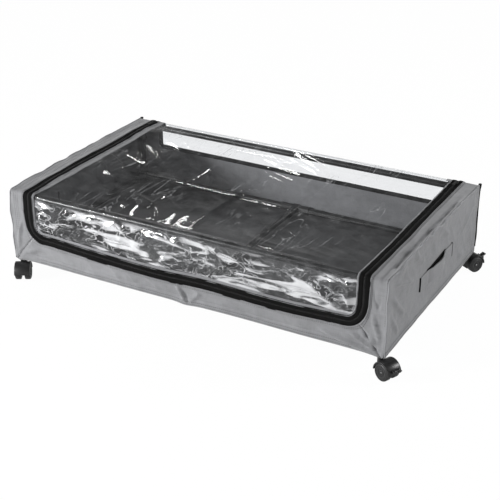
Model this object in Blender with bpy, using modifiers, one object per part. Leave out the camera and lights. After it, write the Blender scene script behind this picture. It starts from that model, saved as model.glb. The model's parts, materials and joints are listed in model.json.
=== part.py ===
# Rolling under-bed storage box: a knock-down steel tube frame with plastic corner
# connectors, four twin-wheel casters, a sewn fabric cover and a zipped clear lid.
# Metres, +Z up, floor at z = 0, long side along X, front towards -Y.
import math

import bmesh
import bpy
from mathutils import Matrix, Vector

# Overall sizes
BOX_LENGTH = 0.800            # over the two end panels, along X
BOX_WIDTH = 0.464             # over the front and back panels, along Y
COVER_BASE = 0.043            # bottom hem of the cover above the floor
COVER_HEIGHT = 0.1475         # bottom hem to the top of the cover

# Clearances
GAP = 0.0003                  # between pieces that touch or are sewn together
TURN_GAP = 0.0003             # radial running clearance

# Sheet materials
FABRIC = 0.0015               # woven cover with its backing
PVC = 0.0010                  # clear lid and window
BOTTOM_LIFT = 0.0030          # bottom panel above the hem

# Frame tubes and their plastic connectors
TUBE_RADIUS = 0.0065
TUBE_WALL = 0.0010
SLEEVE_WALL = 0.0018
SLEEVE_REACH = 0.034          # from the connector's centre to the mouth of a sleeve
SOCKET_STOP = 0.0092          # from the connector's centre to the socket's floor
CORE_INSET = 0.0012           # flat sides of the core inside the sleeves' radius
ARM_START = 0.0040            # arms begin inside the core, so that they join it
STEM_BOSS_DROP = 0.0125       # bottom of the stem boss under the rail's axis
STEM_BOSS_RADIUS = 0.0075
STEM_SOCKET_DEPTH = 0.0155

# Casters
WHEEL_RADIUS = 0.0165
WHEEL_WIDTH = 0.0110
WHEEL_BEVEL = 0.0020
HUB_RADIUS = 0.0060
DISH_DEPTH = 0.0020           # hollow in each wheel's outer face
WEB_HALF = 0.0034             # half the thickness of the hood's middle wall
WHEEL_SIDE_GAP = 0.0008
TREAD_GAP = 0.0008
HOOD_WALL = 0.0028
TRAIL = 0.016                 # from the swivel axis to the axle
AXLE_RADIUS = 0.0020
AXLE_BOSS_RADIUS = 0.0060
NECK_RADIUS = 0.0068
NECK_TOP = 0.0395
STEM_RADIUS = 0.0040
STEM_COLLAR_RADIUS = 0.0066
STEM_COLLAR_HEIGHT = 0.0016
STEM_SEAT = 0.0250            # floor of the stem's hole in the hood

# Brake pedals, hinged between two ears on the hood
EAR_GAP = 0.0110
EAR_WIDTH = 0.0022
EAR_RADIUS = 0.0030
EAR_ROOT = 0.0040             # length of the ear's root into the hood
PEDAL_BARREL_RADIUS = 0.0024
PEDAL_PIN_RADIUS = 0.0012
PEDAL_PIN_REACH = 0.0016      # each pin into its ear
PEDAL_LENGTH = 0.0115
PEDAL_THICKNESS = 0.0026
PEDAL_ANGLE = math.radians(22)   # ears above the axle's level

# Zipper and lid, laid out on one sheet that folds over the front edge
ZIP_X = 0.356                 # middle of the zipper's side runs
ZIP_FRONT_Z = 0.0935          # middle of the zipper's front run above the floor
ZIP_CORNER = 0.030            # corner radius of the zipper on the front
ZIP_HALF_TEETH = 0.0005       # half the gap between the two rows of teeth
ZIP_TAPE = 0.0100             # width of each tape
LID_BORDER = 0.0125           # fabric strip between the tape and the clear sheet
FOLD_RADIUS = 0.0040          # lid's bend over the front edge, at mid thickness
FOLD_STEPS = 4
HINGE_GAP = 0.0005            # rear edge of the lid to its hinge axis

# Sliders
SLIDER_WIDTH = 0.0090
SLIDER_LENGTH = 0.0140
SLIDER_HEIGHT = 0.0020
SLIDER_INSET = 0.0140         # slider's centre from the rear edge
LUG_SPAN = 0.0052             # between the two lugs that hold the pull tab
LUG_WIDTH = 0.0011
LUG_LENGTH = 0.0030
LUG_HEIGHT = 0.0029
BAIL_RADIUS = 0.0007
BAIL_LIFT = 0.0018            # bail's axis above the slider's plate
TAB_EYE_RADIUS = 0.0015
TAB_WIDTH = 0.0042
TAB_LENGTH = 0.0220
TAB_THICKNESS = 0.0010

# Rear window
WINDOW_BOTTOM = 0.1350        # lower edge of the window above the floor
WINDOW_EDGE_X = 0.3440        # half its width

# Handles
HANDLE_LENGTH = 0.165
HANDLE_HEIGHT = 0.027
HANDLE_PATCH = 0.038          # sewn length at each end
HANDLE_BOW = 0.0095           # clear space behind the middle
HANDLE_THICKNESS = 0.0018
HANDLE_Z = 0.114
HANDLE_STEPS = 12

ROUND_STEPS = 12              # facets of tubes and connectors
WHEEL_STEPS = 20

# Worked out from the sizes above
HALF_L = BOX_LENGTH / 2
HALF_W = BOX_WIDTH / 2
TOP = COVER_BASE + COVER_HEIGHT
BORE_RADIUS = TUBE_RADIUS + TURN_GAP
SLEEVE_RADIUS = BORE_RADIUS + SLEEVE_WALL
CORE_HALF = SLEEVE_RADIUS - CORE_INSET
POST_X = HALF_L - FABRIC - GAP - SLEEVE_RADIUS
POST_Y = HALF_W - FABRIC - GAP - SLEEVE_RADIUS
BOTTOM_PANEL_TOP = COVER_BASE + BOTTOM_LIFT + FABRIC
RAIL_Z = BOTTOM_PANEL_TOP + GAP + SLEEVE_RADIUS
TOP_RAIL_Z = TOP - FABRIC - GAP - SLEEVE_RADIUS
TUBE_END = SOCKET_STOP + GAP
SHEET_Z = TOP - FABRIC / 2
SHEET_FRONT_Y = -(HALF_W - FABRIC / 2)
SHEET_REAR_Y = HALF_W - HINGE_GAP
FLAT_RUN = SHEET_REAR_Y - SHEET_FRONT_Y - FOLD_RADIUS
FOLD_RUN = FOLD_RADIUS * math.pi / 2
HOOD_INNER = WHEEL_RADIUS + TREAD_GAP
HOOD_RADIUS = HOOD_INNER + HOOD_WALL
WHEEL_INNER_Y = WEB_HALF + WHEEL_SIDE_GAP
HOOD_HALF = WHEEL_INNER_Y + WHEEL_WIDTH + GAP
ZIP_OUTER = ZIP_HALF_TEETH + ZIP_TAPE
LID_INNER = ZIP_OUTER + LID_BORDER

# Direction in which each caster trails at rest, in degrees from +X
CASTERS = {
    "front_left": {"side": (-1, -1), "trail": -61.0, "brake": False},
    "front_right": {"side": (1, -1), "trail": -24.0, "brake": True},
    "back_left": {"side": (-1, 1), "trail": 150.0, "brake": False},
    "back_right": {"side": (1, 1), "trail": 60.0, "brake": True},
}

COLOURS = {
    "steel_black": ((0.030, 0.031, 0.034), 0.38, 0.85),
    "connector": ((0.022, 0.022, 0.024), 0.55, 0.0),
    "caster": ((0.016, 0.016, 0.018), 0.42, 0.0),
    "pin_steel": ((0.52, 0.52, 0.53), 0.30, 1.0),
    "fabric": ((0.235, 0.240, 0.252), 0.85, 0.0),
    "webbing": ((0.215, 0.220, 0.230), 0.88, 0.0),
    "zipper": ((0.012, 0.012, 0.013), 0.75, 0.0),
    "clear_pvc": ((0.90, 0.92, 0.93), 0.08, 0.0),
}


def clear_scene():
    for obj in list(bpy.data.objects):
        bpy.data.objects.remove(obj, do_unlink=True)


def make_collection(name):
    collection = bpy.data.collections.new(name)
    bpy.context.scene.collection.children.link(collection)
    return collection


def make_material(name, finish):
    colour, roughness, metallic = COLOURS[finish]
    material = bpy.data.materials.new(name)
    material.use_nodes = True
    shader = material.node_tree.nodes["Principled BSDF"]
    shader.inputs["Base Color"].default_value = (*colour, 1.0)
    shader.inputs["Roughness"].default_value = roughness
    shader.inputs["Metallic"].default_value = metallic
    return material


def place(name, mesh, finish, location=(0, 0, 0), turn=None, parent=None):
    """A named sub-part with its own material."""
    obj = bpy.data.objects.new(name, mesh)
    PARTS.objects.link(obj)
    obj.location = location
    if turn is not None:
        obj.rotation_euler = turn
    obj.parent = parent
    mesh.materials.append(make_material(name, finish))
    return obj


def place_tool(name, mesh, location=(0, 0, 0), turn=None, parent=None):
    """A guide that only cuts or joins."""
    obj = bpy.data.objects.new(name, mesh)
    TOOLS.objects.link(obj)
    obj.location = location
    if turn is not None:
        obj.rotation_euler = turn
    obj.parent = parent
    obj.hide_render = True
    obj.display_type = "WIRE"
    return obj


def boolean(obj, tool, operation):
    modifier = obj.modifiers.new(tool.name, "BOOLEAN")
    modifier.object = tool
    modifier.operation = operation
    modifier.solver = "EXACT"


def box_mesh(name, low, high):
    """A box between two corners."""
    low = Vector(low)
    high = Vector(high)
    size = high - low
    matrix = Matrix.Translation((low + high) / 2) @ Matrix.Diagonal((*size, 1))
    bm = bmesh.new()
    bmesh.ops.create_cube(bm, size=1.0, matrix=matrix)
    mesh = bpy.data.meshes.new(name)
    bm.to_mesh(mesh)
    bm.free()
    return mesh


def rod_mesh(name, rods, steps=ROUND_STEPS):
    """Plain rods: (start, end, radius) for each."""
    bm = bmesh.new()
    for start, end, radius in rods:
        start = Vector(start)
        run = Vector(end) - start
        turn = run.to_track_quat("Z", "Y").to_matrix().to_4x4()
        matrix = Matrix.Translation(start + run / 2) @ turn
        bmesh.ops.create_cone(bm, cap_ends=True, segments=steps, radius1=radius,
                              radius2=radius, depth=run.length, matrix=matrix)
    mesh = bpy.data.meshes.new(name)
    bm.to_mesh(mesh)
    bm.free()
    return mesh


def turned_mesh(name, profile):
    """Closed outline of (radius, height), outer side running down."""
    bm = bmesh.new()
    points = [bm.verts.new((radius, 0, height)) for radius, height in profile]
    for i, point in enumerate(points):
        bm.edges.new((point, points[(i + 1) % len(points)]))
    mesh = bpy.data.meshes.new(name)
    bm.to_mesh(mesh)
    bm.free()
    return mesh


def spin(obj, steps):
    modifier = obj.modifiers.new("turn", "SCREW")
    modifier.axis = "Z"
    modifier.angle = 2 * math.pi
    modifier.steps = steps
    modifier.render_steps = steps
    modifier.use_merge_vertices = True
    modifier.merge_threshold = 0.00002


def face_outwards(bm):
    """Consistent normals that enclose a positive volume."""
    bmesh.ops.recalc_face_normals(bm, faces=bm.faces)
    if bm.calc_volume(signed=True) < 0:
        bmesh.ops.reverse_faces(bm, faces=bm.faces)


def outline_mesh(name, points, thickness):
    """A flat outline in the XY plane, given its thickness along Z."""
    curve = bpy.data.curves.new(name, "CURVE")
    curve.dimensions = "2D"
    curve.fill_mode = "BOTH"
    curve.extrude = thickness / 2
    spline = curve.splines.new("POLY")
    spline.points.add(len(points) - 1)
    for point, (x, y) in zip(spline.points, points):
        point.co = (x, y, 0, 1)
    spline.use_cyclic_u = True
    carrier = bpy.data.objects.new(name, curve)
    TOOLS.objects.link(carrier)
    bpy.context.view_layer.update()
    evaluated = carrier.evaluated_get(bpy.context.evaluated_depsgraph_get())
    mesh = bpy.data.meshes.new_from_object(evaluated)
    bpy.data.objects.remove(carrier, do_unlink=True)
    bm = bmesh.new()
    bm.from_mesh(mesh)
    bmesh.ops.remove_doubles(bm, verts=bm.verts, dist=0.00002)
    face_outwards(bm)
    bm.to_mesh(mesh)
    bm.free()
    return mesh


def slab(name, finish, low, high):
    """A flat cut of sheet, with its origin at its middle."""
    middle = (Vector(low) + Vector(high)) / 2
    mesh = box_mesh(name, Vector(low) - middle, Vector(high) - middle)
    return place(name, mesh, finish, location=middle)


def tube(name, start, end):
    """A steel tube, open at both ends."""
    start = Vector(start)
    run = Vector(end) - start
    inner = TUBE_RADIUS - TUBE_WALL
    profile = [(TUBE_RADIUS, run.length), (TUBE_RADIUS, 0), (inner, 0), (inner, run.length)]
    turn = run.to_track_quat("Z", "Y").to_euler()
    obj = place(name, turned_mesh(name, profile), "steel_black", location=start, turn=turn)
    spin(obj, ROUND_STEPS)
    return obj


def connector(name, centre, arms, stem=False, through=None):
    """A moulded block with one sleeve for each tube, and a stem socket under it."""
    half = CORE_HALF
    obj = place(name, box_mesh(name, (-half, -half, -half), (half, half, half)),
                "connector", location=centre)
    bores = []
    for i, arm in enumerate(arms):
        arm = Vector(arm)
        rod = rod_mesh(name + "_arm", [(arm * ARM_START, arm * SLEEVE_REACH, SLEEVE_RADIUS)])
        boolean(obj, place_tool(f"{name}_arm_{i}", rod, location=centre), "UNION")
        if through is None or abs(arm.dot(Vector(through))) < 0.5:
            bores.append((arm * SOCKET_STOP, arm * (SLEEVE_REACH + TUBE_RADIUS), BORE_RADIUS))
    if through is not None:
        end = Vector(through) * (SLEEVE_REACH + TUBE_RADIUS)
        bores.append((-end, end, BORE_RADIUS))
    if stem:
        down = Vector((0, 0, -1))
        boss = rod_mesh(name + "_boss", [(down * ARM_START, down * STEM_BOSS_DROP,
                                          STEM_BOSS_RADIUS)])
        boolean(obj, place_tool(name + "_boss", boss, location=centre), "UNION")
        floor = down * (STEM_BOSS_DROP - STEM_SOCKET_DEPTH)
        bores.append((floor, down * (STEM_BOSS_DROP + TUBE_RADIUS), STEM_RADIUS + TURN_GAP))
    boolean(obj, place_tool(name + "_bores", rod_mesh(name + "_bores", bores),
                            location=centre), "DIFFERENCE")


def frame_connectors():
    for side_y, depth in ((-1, "front"), (1, "back")):
        for side_x, hand in ((-1, "left"), (1, "right")):
            along = (-side_x, 0, 0)
            across = (0, -side_y, 0)
            corner = (side_x * POST_X, side_y * POST_Y)
            connector(f"bottom_{depth}_{hand}_connector", (*corner, RAIL_Z),
                      [along, across, (0, 0, 1)], stem=True)
            connector(f"top_{depth}_{hand}_connector", (*corner, TOP_RAIL_Z),
                      [along, across, (0, 0, -1)])
        connector(f"middle_{depth}_connector", (0, side_y * POST_Y, RAIL_Z),
                  [(-1, 0, 0), (1, 0, 0), (0, -side_y, 0)], through=(1, 0, 0))


def frame_tubes():
    end_x = POST_X - TUBE_END
    end_y = POST_Y - TUBE_END
    for side_y, depth in ((-1, "front"), (1, "back")):
        y = side_y * POST_Y
        tube(f"bottom_{depth}_rail", (-end_x, y, RAIL_Z), (end_x, y, RAIL_Z))
        tube(f"top_{depth}_rail", (-end_x, y, TOP_RAIL_Z), (end_x, y, TOP_RAIL_Z))
        for side_x, hand in ((-1, "left"), (1, "right")):
            x = side_x * POST_X
            tube(f"{depth}_{hand}_post", (x, y, RAIL_Z + TUBE_END), (x, y, TOP_RAIL_Z - TUBE_END))
    for side_x, hand in ((-1, "left"), (1, "right")):
        x = side_x * POST_X
        tube(f"bottom_{hand}_rail", (x, -end_y, RAIL_Z), (x, end_y, RAIL_Z))
        tube(f"top_{hand}_rail", (x, -end_y, TOP_RAIL_Z), (x, end_y, TOP_RAIL_Z))
    tube("cross_bar", (0, -end_y, RAIL_Z), (0, end_y, RAIL_Z))


def pedal_pivot():
    """Pivot of the brake pedal in the caster's own frame."""
    reach = HOOD_RADIUS + GAP + PEDAL_BARREL_RADIUS
    return Vector((TRAIL + reach * math.cos(PEDAL_ANGLE), 0,
                   WHEEL_RADIUS + reach * math.sin(PEDAL_ANGLE)))


def caster_hood(name, base, brake):
    """Half-round cover over both wheels, with a middle wall, an axle boss and a neck."""
    axle = Vector((TRAIL, 0, WHEEL_RADIUS))
    side = Vector((0, 1, 0))
    hood = place(name, rod_mesh(name, [(axle - side * HOOD_HALF, axle + side * HOOD_HALF,
                                        HOOD_RADIUS)], 28), "caster", parent=base)
    below = box_mesh(name + "_below", (TRAIL - 0.03, -0.03, -0.03), (TRAIL + 0.03, 0.03,
                                                                     WHEEL_RADIUS))
    boolean(hood, place_tool(name + "_below", below, parent=base), "DIFFERENCE")
    boss = rod_mesh(name + "_boss", [(axle - side * WEB_HALF, axle + side * WEB_HALF,
                                      AXLE_BOSS_RADIUS)])
    boolean(hood, place_tool(name + "_boss", boss, parent=base), "UNION")
    neck_foot = (0, 0, WHEEL_RADIUS + AXLE_RADIUS)
    neck = rod_mesh(name + "_neck", [(neck_foot, (0, 0, NECK_TOP), NECK_RADIUS)])
    boolean(hood, place_tool(name + "_neck", neck, parent=base), "UNION")
    if brake:
        add_ears(hood, name, base)
    cuts = [(axle + side * WEB_HALF, axle + side * HOOD_RADIUS, HOOD_INNER),
            (axle - side * WEB_HALF, axle - side * HOOD_RADIUS, HOOD_INNER)]
    pockets = place_tool(name + "_pockets", rod_mesh(name + "_pockets", cuts, 28), parent=base)
    boolean(hood, pockets, "DIFFERENCE")
    holes = [(axle - side * AXLE_BOSS_RADIUS, axle + side * AXLE_BOSS_RADIUS,
              AXLE_RADIUS + TURN_GAP),
             ((0, 0, STEM_SEAT), (0, 0, NECK_TOP + STEM_RADIUS), STEM_RADIUS + TURN_GAP)]
    boolean(hood, place_tool(name + "_holes", rod_mesh(name + "_holes", holes, 12), parent=base),
            "DIFFERENCE")
    return hood


def add_ears(hood, name, base):
    """Two ears with a blind hole each, for the pedal's pins."""
    pivot = pedal_pivot()
    inwards = Vector((-math.cos(PEDAL_ANGLE), 0, -math.sin(PEDAL_ANGLE)))
    root = inwards * (PEDAL_BARREL_RADIUS + GAP + EAR_ROOT / 2)
    for sign, hand in ((-1, "a"), (1, "b")):
        middle = Vector((0, sign * (EAR_GAP + EAR_WIDTH) / 2, 0))
        half = Vector((0, EAR_WIDTH / 2, 0))
        ear = rod_mesh(name + "_ear", [(pivot + middle - half, pivot + middle + half,
                                        EAR_RADIUS)], 12)
        boolean(hood, place_tool(f"{name}_ear_{hand}", ear, parent=base), "UNION")
        bridge = box_mesh(name + "_bridge", (-EAR_ROOT, -EAR_WIDTH / 2 + 0.0001, -EAR_RADIUS / 2),
                          (EAR_ROOT, EAR_WIDTH / 2 - 0.0001, EAR_RADIUS / 2))
        tool = place_tool(f"{name}_bridge_{hand}", bridge, location=pivot + middle + root / 1.6,
                          turn=(0, -PEDAL_ANGLE, 0), parent=base)
        boolean(hood, tool, "UNION")
    pin_end = EAR_GAP / 2 + PEDAL_PIN_REACH + GAP
    reach = Vector((0, pin_end, 0))
    pin_hole = [(pivot - reach, pivot + reach, PEDAL_PIN_RADIUS + TURN_GAP)]
    boolean(hood, place_tool(name + "_pin_hole", rod_mesh(name + "_pin_hole", pin_hole, 10),
                             parent=base), "DIFFERENCE")


def brake_pedal(name, base):
    """Pedal with its barrel and pins; its origin lies on its pivot."""
    pivot = pedal_pivot()
    half = EAR_GAP / 2 - GAP
    pin = EAR_GAP / 2 + PEDAL_PIN_REACH
    barrel = rod_mesh(name, [((0, -half, 0), (0, half, 0), PEDAL_BARREL_RADIUS)], 12)
    pedal = place(name, barrel, "caster", location=pivot, turn=(0, -PEDAL_ANGLE, 0), parent=base)
    plate = box_mesh(name + "_plate", (0, -half + 0.0002, -PEDAL_THICKNESS / 2 + 0.0004),
                     (PEDAL_LENGTH, half - 0.0002, PEDAL_THICKNESS / 2 + 0.0004))
    turn = (0, -PEDAL_ANGLE, 0)
    boolean(pedal, place_tool(name + "_plate", plate, location=pivot, turn=turn, parent=base),
            "UNION")
    pins = rod_mesh(name + "_pins", [((0, -pin, 0), (0, pin, 0), PEDAL_PIN_RADIUS)], 10)
    boolean(pedal, place_tool(name + "_pins", pins, location=pivot, turn=turn, parent=base),
            "UNION")


def wheel_profile(sign):
    """Outline of one wheel, from its inner face outwards along the axle."""
    inner = WHEEL_INNER_Y
    outer = WHEEL_INNER_Y + WHEEL_WIDTH
    bore = AXLE_RADIUS + GAP
    rim = WHEEL_RADIUS - WHEEL_BEVEL
    points = [(bore, outer - DISH_DEPTH), (HUB_RADIUS, outer - DISH_DEPTH),
              (rim - WHEEL_BEVEL, outer), (rim, outer), (WHEEL_RADIUS, outer - WHEEL_BEVEL),
              (WHEEL_RADIUS, inner + WHEEL_BEVEL / 2), (WHEEL_RADIUS - WHEEL_BEVEL / 2, inner),
              (bore, inner)]
    if sign < 0:
        points = [(radius, -height) for radius, height in reversed(points)]
    return points


def caster(corner, spec):
    """A swivelling caster; its empty stands on the swivel axis."""
    name = "caster_" + corner
    side_x, side_y = spec["side"]
    base = bpy.data.objects.new(name, None)
    PARTS.objects.link(base)
    base.location = (side_x * POST_X, side_y * POST_Y, 0)
    base.rotation_euler = (0, 0, math.radians(spec["trail"]))
    caster_hood(name + "_hood", base, spec["brake"])
    stem_top = RAIL_Z - STEM_BOSS_DROP + STEM_SOCKET_DEPTH - GAP
    collar_low = NECK_TOP + GAP
    collar_high = collar_low + STEM_COLLAR_HEIGHT
    stem_foot = STEM_SEAT + GAP
    profile = [(0, stem_top), (STEM_RADIUS, stem_top), (STEM_RADIUS, collar_high),
               (STEM_COLLAR_RADIUS, collar_high), (STEM_COLLAR_RADIUS, collar_low),
               (STEM_RADIUS, collar_low), (STEM_RADIUS, stem_foot), (0, stem_foot)]
    stem = place(name + "_stem", turned_mesh(name + "_stem", profile), "pin_steel", parent=base)
    spin(stem, ROUND_STEPS)
    along_axle = (math.pi / 2, 0, 0)
    axle_at = (TRAIL, 0, WHEEL_RADIUS)
    for sign, hand in ((1, "a"), (-1, "b")):
        wheel_name = f"{name}_wheel_{hand}"
        wheel = place(wheel_name, turned_mesh(wheel_name, wheel_profile(sign)), "caster",
                      location=axle_at, turn=along_axle, parent=base)
        spin(wheel, WHEEL_STEPS)
    axle_half = WHEEL_INNER_Y + WHEEL_WIDTH - DISH_DEPTH - GAP
    pin = [((0, 0, -axle_half), (0, 0, axle_half), AXLE_RADIUS)]
    place(name + "_axle", rod_mesh(name + "_axle", pin, 12), "pin_steel", location=axle_at,
          turn=along_axle, parent=base)
    if spec["brake"]:
        brake_pedal(name + "_brake_pedal", base)


def zip_outline(offset):
    """Half-width, depth along the sheet and corner radius of a line beside the teeth."""
    straight = SHEET_Z - FOLD_RADIUS - ZIP_FRONT_Z
    depth = FLAT_RUN + FOLD_RUN + straight
    return ZIP_X + offset, depth + offset, ZIP_CORNER + offset


def u_line(offset, steps=8):
    """Points of the U from the rear left, round the front, to the rear right."""
    half, depth, radius = zip_outline(offset)
    points = [(-half, 0)]
    for i in range(steps + 1):
        angle = math.pi / 2 * i / steps
        points.append((-half + radius - radius * math.cos(angle),
                       depth - radius + radius * math.sin(angle)))
    mirrored = [(-x, t) for x, t in reversed(points)]
    return points + mirrored


def fold(mesh):
    """Bends a flat sheet (X, run, height) over the front edge of the box."""
    bm = bmesh.new()
    bm.from_mesh(mesh)
    for i in range(FOLD_STEPS + 1):
        run = FLAT_RUN + FOLD_RUN * i / FOLD_STEPS
        bmesh.ops.bisect_plane(bm, geom=bm.verts[:] + bm.edges[:] + bm.faces[:], dist=0.000001,
                               plane_co=(0, run, 0), plane_no=(0, 1, 0))
    for vert in bm.verts:
        x, run, height = vert.co
        if run <= FLAT_RUN:
            vert.co = (x, SHEET_REAR_Y - run, SHEET_Z + height)
        elif run <= FLAT_RUN + FOLD_RUN:
            angle = (run - FLAT_RUN) / FOLD_RADIUS
            out = FOLD_RADIUS + height
            vert.co = (x, SHEET_FRONT_Y + FOLD_RADIUS - out * math.sin(angle),
                       SHEET_Z - FOLD_RADIUS + out * math.cos(angle))
        else:
            down = run - FLAT_RUN - FOLD_RUN
            vert.co = (x, SHEET_FRONT_Y - height, SHEET_Z - FOLD_RADIUS - down)
    face_outwards(bm)
    bm.to_mesh(mesh)
    bm.free()


def folded_sheet(name, finish, points, thickness):
    mesh = outline_mesh(name, points, thickness)
    fold(mesh)
    return place(name, mesh, finish)


def lid():
    """Clear sheet, its fabric border with the lid's tape, and the fixed tape."""
    border = u_line(-ZIP_HALF_TEETH) + u_line(-LID_INNER)[::-1]
    folded_sheet("lid_border", "fabric", border, FABRIC)
    folded_sheet("lid_window", "clear_pvc", u_line(-LID_INNER - GAP), PVC)
    tape = u_line(ZIP_OUTER) + u_line(ZIP_HALF_TEETH)[::-1]
    folded_sheet("zipper_tape", "zipper", tape, FABRIC)


def end_panels():
    for side, hand in ((-1, "left"), (1, "right")):
        inner = side * (HALF_L - FABRIC)
        outer = side * HALF_L
        slab(f"end_panel_{hand}", "fabric", (min(inner, outer), -HALF_W, COVER_BASE),
             (max(inner, outer), HALF_W, TOP))


def front_wrap():
    """Lower front band, front side strips and top side strips, cut as one U and folded."""
    half = HALF_L - FABRIC - GAP
    depth = FLAT_RUN + FOLD_RUN + SHEET_Z - FOLD_RADIUS - COVER_BASE
    rim = [(-half, 0), (-half, depth), (half, depth), (half, 0)]
    folded_sheet("front_wrap", "fabric", rim + u_line(ZIP_OUTER + GAP)[::-1], FABRIC)


def back_panel():
    """Back of the cover with a notch for the rear window."""
    half = HALF_L - FABRIC - GAP
    top = TOP - FABRIC - GAP - HINGE_GAP
    points = [(-half, COVER_BASE), (half, COVER_BASE), (half, top), (WINDOW_EDGE_X, top),
              (WINDOW_EDGE_X, WINDOW_BOTTOM), (-WINDOW_EDGE_X, WINDOW_BOTTOM),
              (-WINDOW_EDGE_X, top), (-half, top)]
    mesh = outline_mesh("back_panel", points, FABRIC)
    place("back_panel", mesh, "fabric", location=(0, -SHEET_FRONT_Y, 0), turn=(math.pi / 2, 0, 0))
    edge = WINDOW_EDGE_X - GAP
    slab("back_window", "clear_pvc", (-edge, -SHEET_FRONT_Y - PVC / 2, WINDOW_BOTTOM + GAP),
         (edge, -SHEET_FRONT_Y + PVC / 2, top))


def bottom_panel():
    """Floor of the cover, with a hole for each stem boss."""
    half_x = HALF_L - FABRIC - GAP
    half_y = HALF_W - FABRIC - GAP
    low = COVER_BASE + BOTTOM_LIFT
    panel = slab("bottom_panel", "fabric", (-half_x, -half_y, low), (half_x, half_y, low + FABRIC))
    holes = []
    for side_x in (-1, 1):
        for side_y in (-1, 1):
            spot = (side_x * POST_X, side_y * POST_Y)
            holes.append(((*spot, low - FABRIC), (*spot, low + 2 * FABRIC),
                          STEM_BOSS_RADIUS + GAP))
    boolean(panel, place_tool("stem_holes", rod_mesh("stem_holes", holes)), "DIFFERENCE")


def handles():
    """A webbing strip on each end, sewn flat at its ends and bowed between them."""
    half = HANDLE_LENGTH / 2
    free = half - HANDLE_PATCH
    inner = [(GAP, -half)]
    for i in range(HANDLE_STEPS + 1):
        share = i / HANDLE_STEPS
        bow = HANDLE_BOW * math.sin(math.pi * share) ** 0.75
        inner.append((GAP + bow, -free + 2 * free * share))
    inner.append((GAP, half))
    outer = [(x + HANDLE_THICKNESS, y) for x, y in inner]
    for side, hand in ((-1, "left"), (1, "right")):
        points = [(side * x, y) for x, y in inner + outer[::-1]]
        mesh = outline_mesh(f"handle_{hand}", points, HANDLE_HEIGHT)
        place(f"handle_{hand}", mesh, "webbing", location=(side * HALF_L, 0, HANDLE_Z))


def sliders():
    """Zipper sliders with their pull tabs, at the rear ends of the side runs."""
    plate_low = TOP + GAP
    plate_top = plate_low + SLIDER_HEIGHT
    y = SHEET_REAR_Y - SLIDER_INSET
    for side, hand in ((-1, "left"), (1, "right")):
        centre = Vector((side * ZIP_X, y, plate_low))
        half_w = SLIDER_WIDTH / 2
        half_l = SLIDER_LENGTH / 2
        name = f"zipper_slider_{hand}"
        slider = place(name, box_mesh(name, (-half_w, -half_l, 0), (half_w, half_l, SLIDER_HEIGHT)),
                       "zipper", location=centre)
        bail_z = SLIDER_HEIGHT + BAIL_LIFT
        for sign in (-1, 1):
            low_x = sign * (LUG_SPAN + LUG_WIDTH) / 2 - LUG_WIDTH / 2
            lug = box_mesh(name + "_lug", (low_x, -LUG_LENGTH / 2, SLIDER_HEIGHT / 2),
                           (low_x + LUG_WIDTH, LUG_LENGTH / 2, SLIDER_HEIGHT + LUG_HEIGHT))
            boolean(slider, place_tool(f"{name}_lug_{sign}", lug, location=centre), "UNION")
        reach = (LUG_SPAN + LUG_WIDTH) / 2
        bail = rod_mesh(name + "_bail", [((-reach, 0, bail_z), (reach, 0, bail_z), BAIL_RADIUS)], 10)
        boolean(slider, place_tool(name + "_bail", bail, location=centre), "UNION")
        pull_tab(f"pull_tab_{hand}", Vector((side * ZIP_X, y, plate_top + BAIL_LIFT)))


def pull_tab(name, pivot):
    """Flat tab with an eye round the slider's bail; its origin lies on the bail."""
    half = TAB_WIDTH / 2
    eye = rod_mesh(name, [((-half, 0, 0), (half, 0, 0), TAB_EYE_RADIUS)], 12)
    tab = place(name, eye, "zipper", location=pivot)
    plate = box_mesh(name + "_plate", (-half + 0.0001, -TAB_LENGTH, -TAB_THICKNESS / 2),
                     (half - 0.0001, 0, TAB_THICKNESS / 2))
    boolean(tab, place_tool(name + "_plate", plate, location=pivot), "UNION")
    hole = rod_mesh(name + "_hole", [((-TAB_WIDTH, 0, 0), (TAB_WIDTH, 0, 0),
                                      BAIL_RADIUS + TURN_GAP)], 10)
    boolean(tab, place_tool(name + "_hole", hole, location=pivot), "DIFFERENCE")


def build():
    frame_connectors()
    frame_tubes()
    for corner, spec in CASTERS.items():
        caster(corner, spec)
    end_panels()
    front_wrap()
    back_panel()
    bottom_panel()
    handles()
    lid()
    sliders()


clear_scene()
PARTS = make_collection("under_bed_box")
TOOLS = make_collection("cutters")
build()
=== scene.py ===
import json
import math

import bmesh
import bpy
from mathutils import Matrix, Vector, noise


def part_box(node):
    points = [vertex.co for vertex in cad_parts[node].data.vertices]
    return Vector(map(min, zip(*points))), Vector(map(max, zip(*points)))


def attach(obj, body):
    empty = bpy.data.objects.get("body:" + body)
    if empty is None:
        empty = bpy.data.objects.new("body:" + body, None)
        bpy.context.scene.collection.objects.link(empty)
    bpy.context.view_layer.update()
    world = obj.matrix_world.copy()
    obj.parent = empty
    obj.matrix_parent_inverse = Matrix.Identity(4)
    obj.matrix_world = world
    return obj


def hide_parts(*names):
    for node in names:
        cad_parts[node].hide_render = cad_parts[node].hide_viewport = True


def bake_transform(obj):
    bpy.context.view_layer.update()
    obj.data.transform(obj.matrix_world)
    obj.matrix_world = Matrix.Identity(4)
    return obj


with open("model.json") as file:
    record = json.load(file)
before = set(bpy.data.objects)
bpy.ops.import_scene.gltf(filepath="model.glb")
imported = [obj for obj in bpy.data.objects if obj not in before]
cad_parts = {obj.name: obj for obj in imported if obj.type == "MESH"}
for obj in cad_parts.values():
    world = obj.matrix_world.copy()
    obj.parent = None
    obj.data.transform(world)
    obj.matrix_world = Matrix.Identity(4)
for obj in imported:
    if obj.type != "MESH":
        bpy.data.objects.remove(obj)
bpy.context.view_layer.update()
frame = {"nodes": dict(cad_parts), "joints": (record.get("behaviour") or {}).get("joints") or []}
print("frame loaded")

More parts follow.
